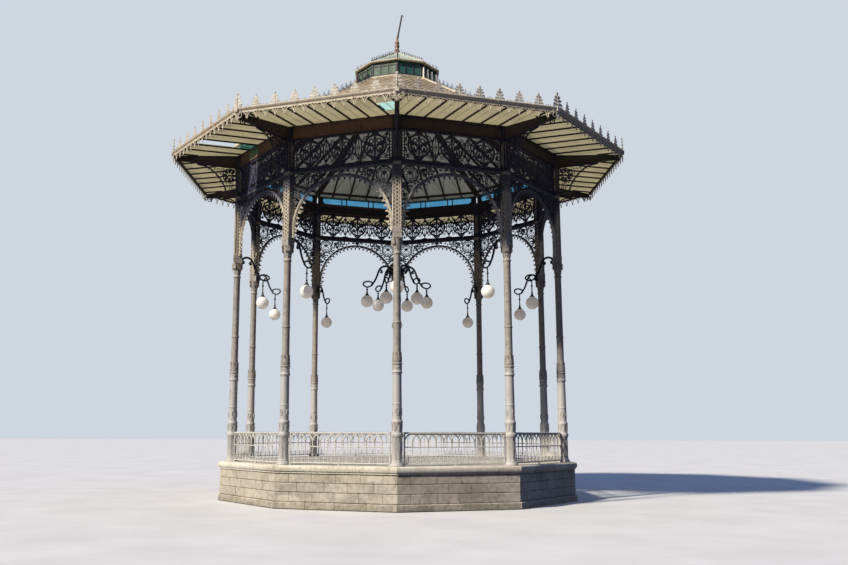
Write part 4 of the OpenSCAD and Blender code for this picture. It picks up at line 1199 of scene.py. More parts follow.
def bracket():
    M = Mesh()
    M.k = 1.5
    mp = mp_rad()
    r0 = R + POST / 2 - 0.004
    c0 = np.array([R + POST / 2 + 1.240, 7.700])

    def edge(a):
        t = math.radians(a)
        return (c0[0] + 1.0 * math.cos(t), c0[1] + 1.0 * math.sin(t))
    low = [edge(a) for a in np.linspace(168, 113, 18) if edge(a)[0] > r0 + 0.01]
    low = [p for p in low if p[1] < 8.600]
    bar(M, np.array([(r0 + 0.016, 7.92), (r0 + 0.016, 8.2), (r0 + 0.016, 8.616)]), 0.034, 0.034, mp, sec="cham")
    bar(M, np.array([(r0, 8.612), (R + 0.6, 8.628), (R + 1.10, 8.650)]), 0.030, 0.034, mp, sec="cham")
    bar(M, np.array([(r0 + 0.01, 7.93)] + low + [(R + 1.14, 8.636)]), 0.034, 0.032, mp, sec="cham")
    # leafy rosette against the column
    cx, cz, r = R + 0.285, 8.400, 0.180
    ring(M, cx, cz, r, 0.020, 0.032, mp, 26)
    ring(M, cx, cz, r * 0.40, 0.014, 0.030, mp, 14)
    dot(M, cx, cz, r * 0.22, 0.044, mp, 8)
    for k in range(8):
        a = 45 * k
        t = math.radians(a)
        leaf(M, (cx + r * 0.42 * math.cos(t), cz + r * 0.42 * math.sin(t)), a, r * 0.54, r * 0.30, 0.028, mp, n=5, blunt=True)
    fill = np.random.default_rng(9)
    for gx in np.arange(0.125, 1.0, 0.078):
        for gz in np.arange(7.96, 8.60, 0.074):
            x, z = R + gx + fill.uniform(-0.012, 0.012), gz + fill.uniform(-0.012, 0.012)
            if math.hypot(x - c0[0], z - c0[1]) < 1.045 or x < r0 + 0.045 or z > 8.585:
                continue
            if math.hypot(x - cx, z - cz) < r + 0.030:
                continue
            curlet(M, x, z, fill.uniform(0.024, 0.034), fill.uniform(0, 360), mp, 0.0125, 0.024, cw=fill.uniform() < 0.5)
    for k in range(9):
        e = edge(162 - 5.2 * k)
        if e[1] < 8.58:
            leaf(M, e, math.degrees(math.atan2(c0[1] - e[1], c0[0] - e[0])), 0.052, 0.024, 0.022, mp, n=4)
    return M


# painted shade: the brackets take the navy lattice material
piece("canopy_bracket_castings", around(bracket(), 0), M_LATTICE_SHADED, ["canopy_brackets"])

ca, sa = math.cos(CAN_A), math.sin(CAN_A)
mp_can = mp_aff((0, -A, CAN_Z), (1, 0, 0), (0, -ca, -sa), (0, -sa, ca))
SL = (HE - HS) / CAN_L


def canopy_clip(P, m):
    P = clip(P, 1, -SL, HS - m)
    if P:
        P = clip(P, -1, -SL, HS - m)
    return P


def rib_bay():
    M = Mesh()
    for k in range(8):
        x = -HE + (k + 0.5) * RIB_P
        P = canopy_clip([(x - 0.015, 0.05), (x + 0.015, 0.05), (x + 0.015, CAN_L - 0.016), (x - 0.015, CAN_L - 0.016)], 0.066)
        if len(P) > 2:
            slab(M, P, -0.037, -0.003, mp_can, c=0.004)
        P = canopy_clip([(x - 0.020, 0.05), (x + 0.020, 0.05), (x + 0.020, CAN_L - 0.016), (x - 0.020, CAN_L - 0.016)], 0.066)
        if len(P) > 2:
            slab(M, P, -0.014, -0.002, mp_can, c=0.002)
    for y0, y1, d in ((0.048, 0.074, 0.024), (CAN_L - 0.060, CAN_L - 0.012, 0.036)):
        P = canopy_clip([(-3, y0), (3, y0), (3, y1), (-3, y1)], 0.066)
        slab(M, P, -d, -0.002, mp_can, c=0.004)
    return M


piece("canopy_rafters", around(rib_bay(), 18), M_TIMBER, ["canopy_ribs"])

brd = Mesh()
for i in range(10):
    one = Mesh()
    for j in range(16):
        x0, x1 = -HE + j * RIB_P / 2 + 0.0025, -HE + (j + 1) * RIB_P / 2 - 0.0025
        y0, y1 = 0.042, CAN_L - 0.009
        m = 0
        if i == 8 and j in (5, 6):
            y1 = 0.43 - (0.05 if j == 6 else 0.0)
            m = 1
        if i == 9 and j >= 13:
            P = canopy_clip([(x0, y0), (x1, y0), (x1, 0.36), (x0, 0.40)], 0.014)
            if len(P) > 2 and abs(area(P)) > 0.0006:
                slab(one, P, 0.001, 0.020, mp_can, c=0.003)
            y0 = 1.030 + 0.03 * (j - 13)
        P = canopy_clip([(x0, y0), (x1, y0), (x1, y1), (x0, y1)], 0.014)
        if m and len(P) > 3:
            # ragged end of the broken board
            xs = np.linspace(x1, x0, 9)
            P = [(x0, y0), (x1, y0)] + [(x, y1 - rng.uniform(0, 0.10)) for x in xs]
        if len(P) > 2 and abs(area(P)) > 0.0006:
            dz = rng.uniform(0, 0.0035)
            slab(one, P, 0.0 + dz, 0.020 + dz * 0.4, mp_can, c=0.003, m=m)
    # narrow lath along each board's middle on the underside
    for j in range(1, 16, 2):
        x = -HE + j * RIB_P / 2 + RIB_P / 2
        if j == 15:
            continue
        y1 = CAN_L - 0.07
        if i == 8 and j == 5:
            y1 = 0.33
        P = canopy_clip([(x - 0.009, 0.09), (x + 0.009, 0.09), (x + 0.009, y1), (x - 0.009, y1)], 0.07)
        if len(P) > 2 and abs(area(P)) > 0.0006:
            slab(one, P, -0.007, 0.001, mp_can, c=0.0015)
    if i == 9:
        # pale sheet laid over the corner board that has gone
        P = canopy_clip([(1.214, 0.34), (3, 0.34), (3, 1.10), (1.214, 1.05)], 0.016)
        slab(one, P, 0.0215, 0.0245, mp_can, c=0.001, m=2)
    brd.join(one, turn(18 + 36 * i))
piece("canopy_planks", brd, [M_BOARD, M_REMNANT, M_PALE], ["canopy_boards"])

# ------------------------------------------------------------------ eaves
gut = Mesh()
prof = [(AE + 0.002, 8.824), (AE + 0.016, 8.820), (AE + 0.020, 8.828), (AE + 0.024, 8.840), (AE + 0.038, 8.850), (AE + 0.045, 8.858),
        (AE + 0.048, 8.870), (AE + 0.054, 8.875), (AE + 0.056, 8.883), (AE + 0.056, 8.895), (AE + 0.052, 8.900), (AE + 0.042, 8.900), (AE + 0.036, 8.882),
        (AE + 0.020, 8.864), (AE + 0.013, 8.866), (AE + 0.010, 8.896), (AE + 0.002, 8.896)]
one = Mesh()
run(one, prof, ("m", 0.04), ("m", 0.04), seg=4)
for x in (-1.28, -0.43, 0.43, 1.28):
    run(one, [(AE + 0.000, 8.818), (AE + 0.020, 8.816), (AE + 0.028, 8.836), (AE + 0.046, 8.850), (AE + 0.0575, 8.872), (AE + 0.0585, 8.902), (AE + 0.03, 8.903), (AE + 0.0, 8.903)], x - 0.012, x + 0.012)
gut.join(around(one, 18))
piece("gutter_moulding", gut, M_EAVES, ["gutter"])


def valance_bay():
    M = Mesh()
    mp = mp_bay(AE, 0.012)
    w = HE - 0.020
    bar(M, [(-w, 8.806), (0, 8.806), (w, 8.806)], 0.030, 0.012, mp, sec="cham")
    n = 16
    p = 2 * w / n
    for k in range(n):
        x = -w + (k + 0.5) * p
        P = np.concatenate([[(x - p / 2 + 0.015, 8.650)], arc(x, 8.685, p / 2 - 0.018, 180, 0, 11, ry=0.106), [(x + p / 2 - 0.015, 8.650)]])
        bar(M, P, 0.024, 0.014, mp, sec="hex")
    for k in range(n + 1):
        x = -w + k * p
        bar(M, [(x, 8.795), (x, 8.77), (x, 8.755)], [0.040, 0.022, 0.010], 0.012, mp, sec="dia")
        dot(M, x, 8.655, 0.015, 0.018, mp, 6)
        leaf(M, (x, 8.652), -90, 0.036, 0.018, 0.014, mp, n=4)
    return M


piece("valance_fringe", around(valance_bay(), 18), M_EAVES, ["valance"])


def palmette(M, x, mp, z0, h, w, d=0.014):
    """Upright leaf ornament: a foot with two scrolls, three pairs of lobes and a rounded top."""
    bar(M, [(x, z0), (x, z0 + h * 0.45), (x, z0 + h * 0.84)], [0.030, 0.022, 0.014], d, mp)
    for s in (-1, 1):
        P = bez([(x, z0 + h * 0.03), (x + s * w * 0.58, z0 - h * 0.04), (x + s * w * 0.64, z0 + h * 0.24), (x + s * w * 0.32, z0 + h * 0.28), (x + s * w * 0.20, z0 + h * 0.14)], 9)
        bar(M, P, np.linspace(0.024, 0.014, 9), d, mp)
        leaf(M, (x, z0 + h * 0.16), 90 - s * 64, w * 0.47, h * 0.215, d, mp, curl=-s * 34, n=6, blunt=True)
        leaf(M, (x, z0 + h * 0.38), 90 - s * 58, w * 0.42, h * 0.205, d, mp, curl=-s * 34, n=5, blunt=True)
        leaf(M, (x, z0 + h * 0.58), 90 - s * 50, w * 0.33, h * 0.185, d, mp, curl=-s * 30, n=5, blunt=True)
    leaf(M, (x, z0 + h * 0.64), 90, h * 0.26, w * 0.22, d * 1.2, mp, n=5, blunt=True)
    dot(M, x, z0 + h * 0.90, h * 0.095, d * 1.4, mp, 8)


def crest_bay():
    M = Mesh()
    mp = mp_bay(AE, 0.022)
    w = HE - 0.055
    bar(M, [(-w, 8.906), (0, 8.906), (w, 8.906)], 0.016, 0.016, mp, sec="cham")
    for k in range(1, 8):
        palmette(M, -HE + k * RIB_P, mp, 8.900, 0.290, 0.235)
    # low scrolls between the palmettes
    for k in range(8):
        x = -HE + (k + 0.5) * RIB_P
        for s in (-1, 1):
            bar(M, bez([(x, 8.910), (x + s * 0.05, 8.905), (x + s * 0.09, 8.946), (x + s * 0.045, 8.954), (x + s * 0.04, 8.926)], 7), 0.012, 0.012, mp)
        leaf(M, (x, 8.908), 90, 0.060, 0.028, 0.012, mp, n=4)
    return M


def corner_crest():
    M = Mesh()
    r = RE + 0.004
    # block that covers the mitre, then the ornament
    mp = mp_bay(r, 0.0)
    slab(M, [(-0.046, 8.812), (0.046, 8.812), (0.050, 8.83), (0.050, 8.905), (-0.050, 8.905), (-0.050, 8.83)], -0.044, 0.048, mp, c=0.005)
    bar(M, [(-0.056, 8.910), (0, 8.910), (0.056, 8.910)], 0.014, 0.046, mp, sec="cham")
    dot(M, 0, 8.858, 0.028, 0.094, mp, 8)
    # white forked strap under the corner, with two open rings
    for s in (-1, 1):
        bar(M, bez([(0, 8.690), (s * 0.02, 8.76), (s * 0.10, 8.80), (s * 0.15, 8.812)], 8), 0.024, 0.016, mp)
        ring(M, s * 0.098, 8.722, 0.056, 0.020, 0.014, mp, 16)
    leaf(M, (0, 8.720), -90, 0.12, 0.040, 0.030, mp, n=5)
    palmette(M, 0, mp, 8.905, 0.372, 0.300, 0.022)
    # same ornament crosswise, so that it reads from the side
    mq = mp_rad()
    for k, (zz, L, W) in enumerate(((8.970, 0.040, 0.040), (9.050, 0.038, 0.036), (9.125, 0.030, 0.030))):
        for s in (-1, 1):
            leaf(M, (r, zz), 90 - s * 60, L, W, 0.022, mq, curl=s * 40, n=4)
    return M


crest = Mesh()
crest.join(around(crest_bay(), 18))
crest.join(around(corner_crest(), 0))
piece("eaves_palmettes", crest, M_CREST, ["eaves_cresting"])


# ------------------------------------------------------------------ upper roof
cr, sr = math.cos(ROOF_A), math.sin(ROOF_A)
mp_roof = mp_aff((0, -AL, RLZ), (1, 0, 0), (0, cr, sr), (0, -sr, cr))


def roof_w(y):
    return RLR * S18 + (RHR - RLR) * S18 * y / ROOF_L


sca = Mesh()
for i in range(10):
    one = Mesh()
    e = 0.118
    wd = 0.150
    rows = int(ROOF_L / e)
    for j in range(rows + 1):
        y = j * e - 0.012
        lim = roof_w(max(y + e * 0.5, 0)) - 0.012
        n = int(math.ceil(lim / wd)) + 1
        for k in range(-n, n + 1):
            x = (k + (0.5 if j % 2 else 0.0)) * wd
            if abs(x) - wd / 2 > lim - 0.004:
                continue
            jx, jr = rng.uniform(-0.004, 0.004), rng.uniform(-0.0015, 0.0035)
            h = wd / 2 - 0.002
            yt = min(y + e * 1.28, ROOF_L - 0.002)
            pts = np.array([(-h, yt), (h, yt), (h, y + e * 0.34), (h * 0.52, y + 0.008), (0, y - 0.004), (-h * 0.52, y + 0.008), (-h, y + e * 0.34)])
            pts[:, 0] += x + jx
            limy = np.array([roof_w(max(q, 0)) - 0.010 for q in pts[:, 1]])
            pts[:, 0] = np.clip(pts[:, 0], -limy, limy)
            if pts[:, 0].max() - pts[:, 0].min() < 0.02:
                continue
            hi = 0.0035 + (1 - (pts[:, 1] - y) / (e * 1.28)) * 0.012 + jr * (pts[:, 1] < y + e * 0.5)
            t = np.concatenate([hi, np.full(7, -0.004)])
            a = np.concatenate([pts[:, 0], pts[:, 0]])
            b = np.concatenate([pts[:, 1], pts[:, 1]])
            v = mp_roof(a, b, t)
            one.add(v, [(0, 1, 2, 3, 4, 5, 6)], [(13, 12, 11, 10, 9, 8, 7)], [(q, (q + 1) % 7, 7 + (q + 1) % 7, 7 + q) for q in range(7)])
    sca.join(one, turn(18 + 36 * i))
piece("roof_scale_sheets", sca, M_SCALE)

# boarding under the scales keeps the CAD slab; a roll covers each hip
hip = Mesh()
rr0, rr1 = RLR - 0.01, RHR + 0.03


def zhip(r):
    return RLZ + (RLR - r) / (RLR - RHR) * (RHZ - RLZ)


P = [(0.0, -r, zhip(r) + 0.006) for r in np.linspace(rr0, rr1, 9)]
tube(hip, P, 0.034, 10)
for r in np.linspace(rr0 - 0.2, rr1 + 0.1, 8):
    tube(hip, [(0, -r, zhip(r) + 0.006), (0, -(r - 0.018), zhip(r - 0.018) + 0.006), (0, -(r - 0.036), zhip(r - 0.036) + 0.006)], 0.040, 10)
rolls = around(hip, 0)
eav = Mesh()
run(eav, [(AL + 0.030, RLZ - 0.060), (AL + 0.046, RLZ - 0.052), (AL + 0.050, RLZ - 0.030), (AL + 0.044, RLZ - 0.010), (AL + 0.020, RLZ + 0.004), (AL - 0.010, RLZ + 0.014), (AL - 0.012, RLZ - 0.034)], ("m", 0.0), ("m", 0.0))
rolls.join(around(eav, 18))
piece("roof_hip_rolls", rolls, M_CREAM)


def hipcrest():
    M = Mesh()
    mp = mp_rad()
    r0, r1 = RLR - 0.060, RHR + 0.130
    z = lambda r: zhip(r) + 0.040
    line = np.array([(r, z(r)) for r in np.linspace(r0, r1, 8)])
    bar(M, line + [0, 0.006], 0.018, 0.018, mp, sec="cham")
    bar(M, line + [0, 0.050], 0.010, 0.012, mp, sec="dia")
    n = 18
    for k in range(n):
        r = RLR - 0.120 - k * (RLR - RHR - 0.330) / (n - 1)
        zz = z(r)
        bar(M, [(r, zz), (r, zz + 0.07), (r, zz + 0.158)], [0.016, 0.012, 0.003], 0.012, mp, sec="dia")
        for s in (-1, 1):
            P = bez([(r, zz + 0.020), (r + s * 0.050, zz + 0.030), (r + s * 0.066, zz + 0.100), (r + s * 0.030, zz + 0.112), (r + s * 0.026, zz + 0.084)], 8)
            bar(M, P, np.linspace(0.012, 0.005, 8), 0.012, mp, sec="dia")
            leaf(M, (r, zz + 0.100), 90 - s * 50, 0.034, 0.012, 0.010, mp, n=3)
    # end scroll at the foot of the hip
    scroll(M, r0 - 0.02, z(r0) + 0.070, 0.062, -90, 1.3, 0.018, 0.018, mp, n=16)
    leaf(M, (r0 - 0.01, z(r0) + 0.125), 90, 0.10, 0.034, 0.016, mp, n=5)
    return M


ridge = Mesh()
ridge.join(around(hipcrest(), 0))


def lantern_hipcrest():
    """Claw-shaped spikes along the hips of the lantern roof."""
    M = Mesh()
    mp = mp_rad()
    z = lambda r: LE + (LER - r) * LK + 0.012
    line = np.array([(r, z(r)) for r in np.linspace(LER - 0.030, 0.155, 5)])
    bar(M, line + [0, 0.004], 0.016, 0.016, mp, sec="cham")
    n = 10
    for k in range(n):
        r = LER - 0.085 - k * 0.103
        zz = z(r)
        P = bez([(r - 0.014, zz), (r + 0.006, zz + 0.050), (r - 0.004, zz + 0.084), (r - 0.030, zz + 0.104)], 7)
        bar(M, P, np.linspace(0.030, 0.005, 7), 0.014, mp, sec="dia")
        bar(M, bez([(r, zz), (r + 0.036, zz + 0.016), (r + 0.046, zz + 0.052), (r + 0.024, zz + 0.058)], 6), np.linspace(0.014, 0.006, 6), 0.012, mp, sec="dia")
    return M


ridge.join(around(lantern_hipcrest(), 0))
piece("ridge_spikes", ridge, M_RIDGE, ["roof_cresting"])


# thin cross rods under the upper roof
def braces():
    M = Mesh()
    d = -0.040 - 0.072 - 0.006

    def pt(x, y):
        return mp_roof(np.array(x), np.array(y), np.array(d))
    for x0, x1 in ((-0.84, -0.28), (-0.28, 0.28), (0.28, 0.84)):
        y0, y1 = 0.35, 1.95
        for a, b in ((x0, x1), (x1, x0)):
            lim = roof_w(y1) - 0.10
            bb = max(-lim, min(lim, b))
            P = [pt(a + (bb - a) * t, y0 + (y1 - y0) * t) for t in (0, 0.5, 1)]
            tube(M, P, 0.007, 6)
    for y in (1.95,):
        P = [pt(x, y) for x in np.linspace(-(roof_w(y) - 0.1), roof_w(y) - 0.1, 3)]
        tube(M, P, 0.012, 6)
    return M


piece("roof_tie_rods", around(braces(), 18), M_DARK)

# ------------------------------------------------------------------ lantern
cur = Mesh()
c1 = 1.210 * C18
c2 = 1.182 * C18
ci = 1.100 * C18
one = Mesh()
run(one, [(ci, RHZ - 0.106), (c2 - 0.004, RHZ - 0.106), (c2, RHZ - 0.094), (c2, RHZ - 0.058), (c2 + 0.010, RHZ - 0.046), (c1 - 0.004, RHZ - 0.040), (c1, RHZ - 0.032), (c1, RHZ + 0.022),
          (c1 - 0.010, RHZ + 0.032), (c1 - 0.030, RHZ + 0.040), (ci, RHZ + 0.040)], ("m", 0.0), ("m", 0.0), seg=2)
for x in np.linspace(-0.30, 0.30, 5):
    run(one, [(c2 - 0.01, RHZ - 0.092), (c2 + 0.008, RHZ - 0.090), (c2 + 0.014, RHZ - 0.062), (c2 - 0.01, RHZ - 0.056)], x - 0.030, x + 0.030)
cur.join(around(one, 18))
piece("lantern_curb_moulding", cur, M_CREAM, ["lantern_curb"])

lan = Mesh()


def lantern_bay():
    M = Mesh()
    a = RHR * C18 - 0.020
    mp = mp_bay(a, 0.0)
    z0, z1 = RHZ + 0.042, LTOP
    zm = (z0 + z1) / 2
    w = (a + 0.01) * T18
    for s in (-1, 1):
        bar(M, [(s * (w - 0.020), z0), (s * (w - 0.020), zm), (s * (w - 0.020), z1)], 0.040, 0.044, mp, sec="cham")
    bar(M, [(-w, z0 + 0.016), (0, z0 + 0.016), (w, z0 + 0.016)], 0.032, 0.044, mp, sec="cham")
    bar(M, [(-w, z1 - 0.008), (0, z1 - 0.008), (w, z1 - 0.008)], 0.016, 0.044, mp, sec="cham")
    for x in (-w / 3 + 0.006, w / 3 - 0.006):
        bar(M, [(x, z0), (x, zm), (x, z1)], 0.024, 0.036, mp, sec="cham")
    bar(M, [(-w, z1 - 0.122), (0, z1 - 0.122), (w, z1 - 0.122)], 0.020, 0.028, mp, sec="cham")
    return M


lan.join(around(lantern_bay(), 18))
# turned strips in front of the right-hand side, scrolls in front of the left one
mpl = mp_bay(RHR * C18 - 0.020, 0.034)
bal = Mesh()
for x in (-0.315, -0.105, 0.105, 0.315):
    z0 = RHZ + 0.044
    zz = z0 + 0.300 * np.array([0, 0.06, 0.12, 0.20, 0.30, 0.42, 0.54, 0.64, 0.72, 0.80, 0.88, 0.95, 1.0])
    ww = [0.062, 0.062, 0.034, 0.046, 0.066, 0.074, 0.060, 0.036, 0.024, 0.030, 0.038, 0.022, 0.006]
    bar(bal, np.stack([np.full(13, x), zz], 1), ww, 0.040, mpl, sec="hex")
scr = Mesh()
for x, s in ((-0.20, 1), (0.03, -1), (0.22, 1)):
    scroll(scr, x, RHZ + 0.130, 0.060, 90, 1.4, 0.024, 0.016, mpl, cw=s < 0, n=12)
    bar(scr, bez([(x - s * 0.06, RHZ + 0.140), (x - s * 0.07, RHZ + 0.24), (x + s * 0.03, RHZ + 0.27), (x + s * 0.02, RHZ + 0.37)], 7), np.linspace(0.026, 0.012, 7), 0.016, mpl, sec="dia")
strips = Mesh()
for i in (1, 2):
    strips.join(bal, turn(18 + 36 * i))
lan.join(strips, m=1)
M_SPIN = iron("spindle paint", srgb(240, 236, 224), srgb(226, 218, 200), 0.16, srgb(246, 242, 232), 0.3)
# painted light: the spindles glow by emission at 0.30, so they stay bright in shade
bs_ = next(n for n in M_SPIN.node_tree.nodes if n.type == "BSDF_PRINCIPLED")
bs_.inputs["Emission Color"].default_value = srgb(222, 214, 200)
bs_.inputs["Emission Strength"].default_value = 0.30
for i in (7, 8):
    lan.join(scr, turn(18 + 36 * i))
piece("lantern_window_frames", lan, [M_DARK, M_SPIN], ["lantern_frame"])

lro = Mesh()
run_prof = [(LER * C18 - 0.235, LTOP + 0.001), (LER * C18 - 0.020, LTOP + 0.002), (LER * C18 - 0.005, LTOP + 0.007), (LER * C18, LTOP + 0.016), (LER * C18, LTOP + 0.026),
            (LER * C18 - 0.006, LTOP + 0.034), (LER * C18 - 0.05, LTOP + 0.037), (LER * C18 - 0.235, LTOP + 0.037)]
one = Mesh()
run(one, run_prof, ("m", 0.0), ("m", 0.0), seg=2)
lro.join(around(one, 18))
top = Mesh()
rr = [1.232, 1.03, 0.82, 0.61, 0.40, 0.20, 0.085]
zr = lambda r: LE + (LER - r) * LK
lathe(top, [(r, zr(r) - 0.004) for r in rr] + [(r, zr(r) - 0.034) for r in rr[::-1]] + [(1.232, LE - 0.004)], 10, phase=-PI / 2)
lro.join(top, m=1)
# standing seams on the sheets and rolls over the hips
seam = Mesh()
mps = mp_aff((0, -LER * C18, LE), (1, 0, 0), (0, math.cos(LA), math.sin(LA)), (0, -math.sin(LA), math.cos(LA)))
for x in (-0.26, -0.13, 0.0, 0.13, 0.26):
    y1 = LL * (1 - (abs(x) + 0.024) / (LER * S18)) if x else LL - 0.16
    bar(seam, [(x, 0.016), (x, y1 / 2), (x, y1)], 0.012, 0.018, mps, sec="dia")
for y in (0.42, 0.86):
    hw = LER * S18 * (1 - y / LL) - 0.014
    bar(seam, [(-hw, y), (0, y), (hw, y)], 0.016, 0.008, mps, sec="dia")
lro.join(around(seam, 18), m=1)
hipr = Mesh()
tube(hipr, [(0, -r, zr(r) + 0.004) for r in (1.236, 1.0, 0.6, 0.3, 0.09)], 0.016, 8)
lro.join(around(hipr, 0))
piece("lantern_roof_sheets", lro, [M_CREAM, M_LROOF], ["lantern_roof"])

# ------------------------------------------------------------------ finial
fin = Mesh()
z0 = LTIP - 0.075
lathe(fin, [(0.100, z0 + 0.001), (0.104, z0 + 0.006), (0.104, z0 + 0.024), (0.096, z0 + 0.034), (0.080, z0 + 0.046), (0.070, z0 + 0.066), (0.061, z0 + 0.100), (0.058, z0 + 0.130),
            (0.063, z0 + 0.140), (0.063, z0 + 0.152), (0.056, z0 + 0.162), (0.054, z0 + 0.310),
            (0.058, z0 + 0.328), (0.066, z0 + 0.344), (0.066, z0 + 0.382), (0.058, z0 + 0.396), (0.048, z0 + 0.412), (0.040, z0 + 0.454), (0.032, z0 + 0.539)], 20)
for k in range(6):
    ph = k * PI / 3
    around_leaf(fin, ph, [(0.062, z0 + 0.060), (0.072, z0 + 0.100), (0.080, z0 + 0.130), (0.092, z0 + 0.148), (0.098, z0 + 0.138)], [0.014, 0.024, 0.024, 0.014, 0.003])
    around_leaf(fin, ph + 0.5, [(0.055, z0 + 0.20), (0.060, z0 + 0.235), (0.070, z0 + 0.265), (0.082, z0 + 0.278)], [0.012, 0.022, 0.018, 0.003])
rod = Mesh()
a8 = math.radians(10)
zb = LTOP + 1.110
pr = lambda s: (s * math.sin(a8), 0.0, zb + s * math.cos(a8))
tube(rod, [pr(0.0), pr(0.2), pr(0.45), pr(0.70), pr(0.800), pr(0.816)], [0.025, 0.024, 0.023, 0.022, 0.022, 0.016], 10)
hk = [pr(0.790), (pr(0.802)[0] + 0.016, 0, pr(0.802)[2]), (pr(0.803)[0] + 0.036, 0, pr(0.803)[2] - 0.004), (pr(0.803)[0] + 0.048, 0, pr(0.803)[2] - 0.020)]
tube(rod, hk, 0.012, 8)
for s in (0.05, 0.12):
    tube(rod, [pr(s), pr(s + 0.012), pr(s + 0.024)], 0.033, 10)
fin.join(rod, m=1)
piece("roof_finial", fin, [M_FINIAL, M_ROD], ["finial"])


# ------------------------------------------------------------------ lamps
def lamp_head(M, x, y, zc, hang):
    """Hanger rod, flared cap and gallery over a globe centred at zc."""
    t = zc + GLOBE
    lathe(M, [(0.058, t - 0.016), (0.063, t - 0.008), (0.062, t + 0.004), (0.054, t + 0.014), (0.042, t + 0.026), (0.034, t + 0.042), (0.027, t + 0.062), (0.021, t + 0.080),
              (0.020, t + 0.094), (0.026, t + 0.102), (0.026, t + 0.112), (0.018, t + 0.120), (0.015, t + 0.138), (0.015, t + hang * 0.62), (0.026, t + hang * 0.62 + 0.012),
              (0.030, t + hang * 0.62 + 0.024), (0.026, t + hang * 0.62 + 0.036), (0.015, t + hang * 0.62 + 0.046), (0.015, t + hang)], 18, x, y)
    for k in range(3):
        a = 2 * PI * k / 3
        tube(M, [(x + 0.056 * math.cos(a), y + 0.056 * math.sin(a), t - 0.008), (x + 0.066 * math.cos(a), y + 0.066 * math.sin(a), t - 0.008), (x + 0.074 * math.cos(a), y + 0.074 * math.sin(a), t - 0.008)], 0.006, 6)


def swept_arm(M, to, a0):
    """Arm of a lamp in the upright plane through the axis: bow, curls, falling limb and the flattened loop."""
    def t(P, r, closed=False):
        P = np.asarray(P, float)
        tube(M, to(P[:, 0], P[:, 1], 0 * P[:, 0]), r, 8, closed=closed)
    main = np.concatenate([bez([(a0, 6.105), (a0 + 0.02, 6.200), (0.240, 6.250), (0.352, 6.200), (0.402, 6.090)], 12),
                           bez([(0.402, 6.090), (0.452, 5.980), (0.470, 5.860), (0.556, 5.742)], 8)[1:],
                           bez([(0.556, 5.742), (0.574, 5.716), (0.592, 5.694), (0.616, 5.668)], 4)[1:]])
    t(main, np.linspace(0.030, 0.024, len(main)))
    th = np.radians(np.arange(0, 360, 13.85))[:26]
    sn = np.sin(th)
    rx = 0.134 * (1 - 0.42 * np.clip(-sn, 0, 1) ** 1.4)
    t(np.stack([0.712 + rx * np.cos(th) + 0.02 * np.clip(-sn, 0, 1), 5.690 + 0.080 * sn], 1), 0.021, closed=True)
    # curls under both ends of the bow
    t(spiral(0.140, 6.066, 0.046, 0.014, 90, -250, 14), np.linspace(0.020, 0.012, 14))
    t(spiral(0.352, 6.046, 0.058, 0.016, 60, 380, 14), np.linspace(0.021, 0.012, 14))
    mp = lambda a, b, w: to(a, b, w)
    dot(M, 0.140, 6.066, 0.024, 0.044, mp, 8)
    dot(M, 0.352, 6.046, 0.026, 0.044, mp, 8)
    leaf(M, (0.420, 6.030), -66, 0.13, 0.046, 0.034, mp, curl=-20, n=6)
    leaf(M, (0.560, 5.742), 20, 0.07, 0.034, 0.026, mp, curl=-40, n=5)
    leaf(M, (0.700, 5.772), 160, 0.07, 0.030, 0.024, mp, curl=30, n=4)
    leaf(M, (0.240, 6.220), 20, 0.08, 0.030, 0.026, mp, curl=-60, n=5)


def lamp_arm():
    M = Mesh()
    swept_arm(M, lambda a, b, w: np.stack([w, -R + a, b], -1), 0.104)
    lamp_head(M, 0, -LAMP_R, LAMP_Z, 0.420)
    return M


piece("lamp_brackets", around(lamp_arm(), 0), M_LAMP, ["lamp_arms"])


def globe(M, x, y, z):
    prof = [(GLOBE * math.cos(math.radians(a)), z + GLOBE * math.sin(math.radians(a))) for a in range(-86, 68, 9)]
    prof = [(0.004, z - GLOBE + 0.0004)] + prof + [(0.060, z + 0.156), (0.056, z + 0.160), (0.050, z + 0.158), (0.044, z + 0.130), (0.01, z + 0.12)]
    lathe(M, prof, 28, x, y)


glo = Mesh()
one = Mesh()
globe(one, 0, -LAMP_R, LAMP_Z)
glo.join(around(one, 0))
one = Mesh()
globe(one, 0, -CH_R, CH_Z)
for a in CH_A:
    glo.join(one, turn(a))
piece("opal_globes", glo, M_OPAL, ["lamp_globes"])

cha = Mesh()
lathe(cha, [(0.010, 5.812), (0.034, 5.820), (0.046, 5.845), (0.036, 5.875), (0.044, 5.890), (0.074, 5.925), (0.096, 5.955), (0.132, 5.985), (0.160, 6.020), (0.176, 6.060), (0.180, 6.085),
            (0.170, 6.120), (0.152, 6.150), (0.118, 6.180), (0.086, 6.205), (0.062, 6.240), (0.056, 6.275), (0.060, 6.295), (0.046, 6.315), (0.034, 6.340), (0.028, 6.380), (0.024, 6.400), (0.023, 12.440), (0.04, 12.445)], 22)
for k in range(9):
    ph = 2 * PI * k / 9
    around_leaf(cha, ph, [(0.090, 5.93), (0.135, 5.975), (0.172, 6.020), (0.190, 6.075), (0.200, 6.125), (0.218, 6.150)], [0.020, 0.040, 0.048, 0.040, 0.022, 0.003], 0.010, 0.014)
    around_leaf(cha, ph + 0.35, [(0.060, 5.88), (0.096, 5.92), (0.140, 5.95), (0.176, 5.985), (0.192, 5.975)], [0.014, 0.026, 0.030, 0.018, 0.003], 0.010, 0.012)
    around_leaf(cha, ph + 0.35, [(0.110, 6.185), (0.130, 6.215), (0.150, 6.240), (0.176, 6.245)], [0.018, 0.030, 0.024, 0.003], 0.010, 0.012)
lathe(cha, [(0.022, 7.30), (0.046, 7.33), (0.056, 7.37), (0.046, 7.41), (0.022, 7.44)], 14)
lathe(cha, [(0.022, 9.10), (0.040, 9.13), (0.046, 9.16), (0.040, 9.19), (0.022, 9.22)], 14)
arm = Mesh()
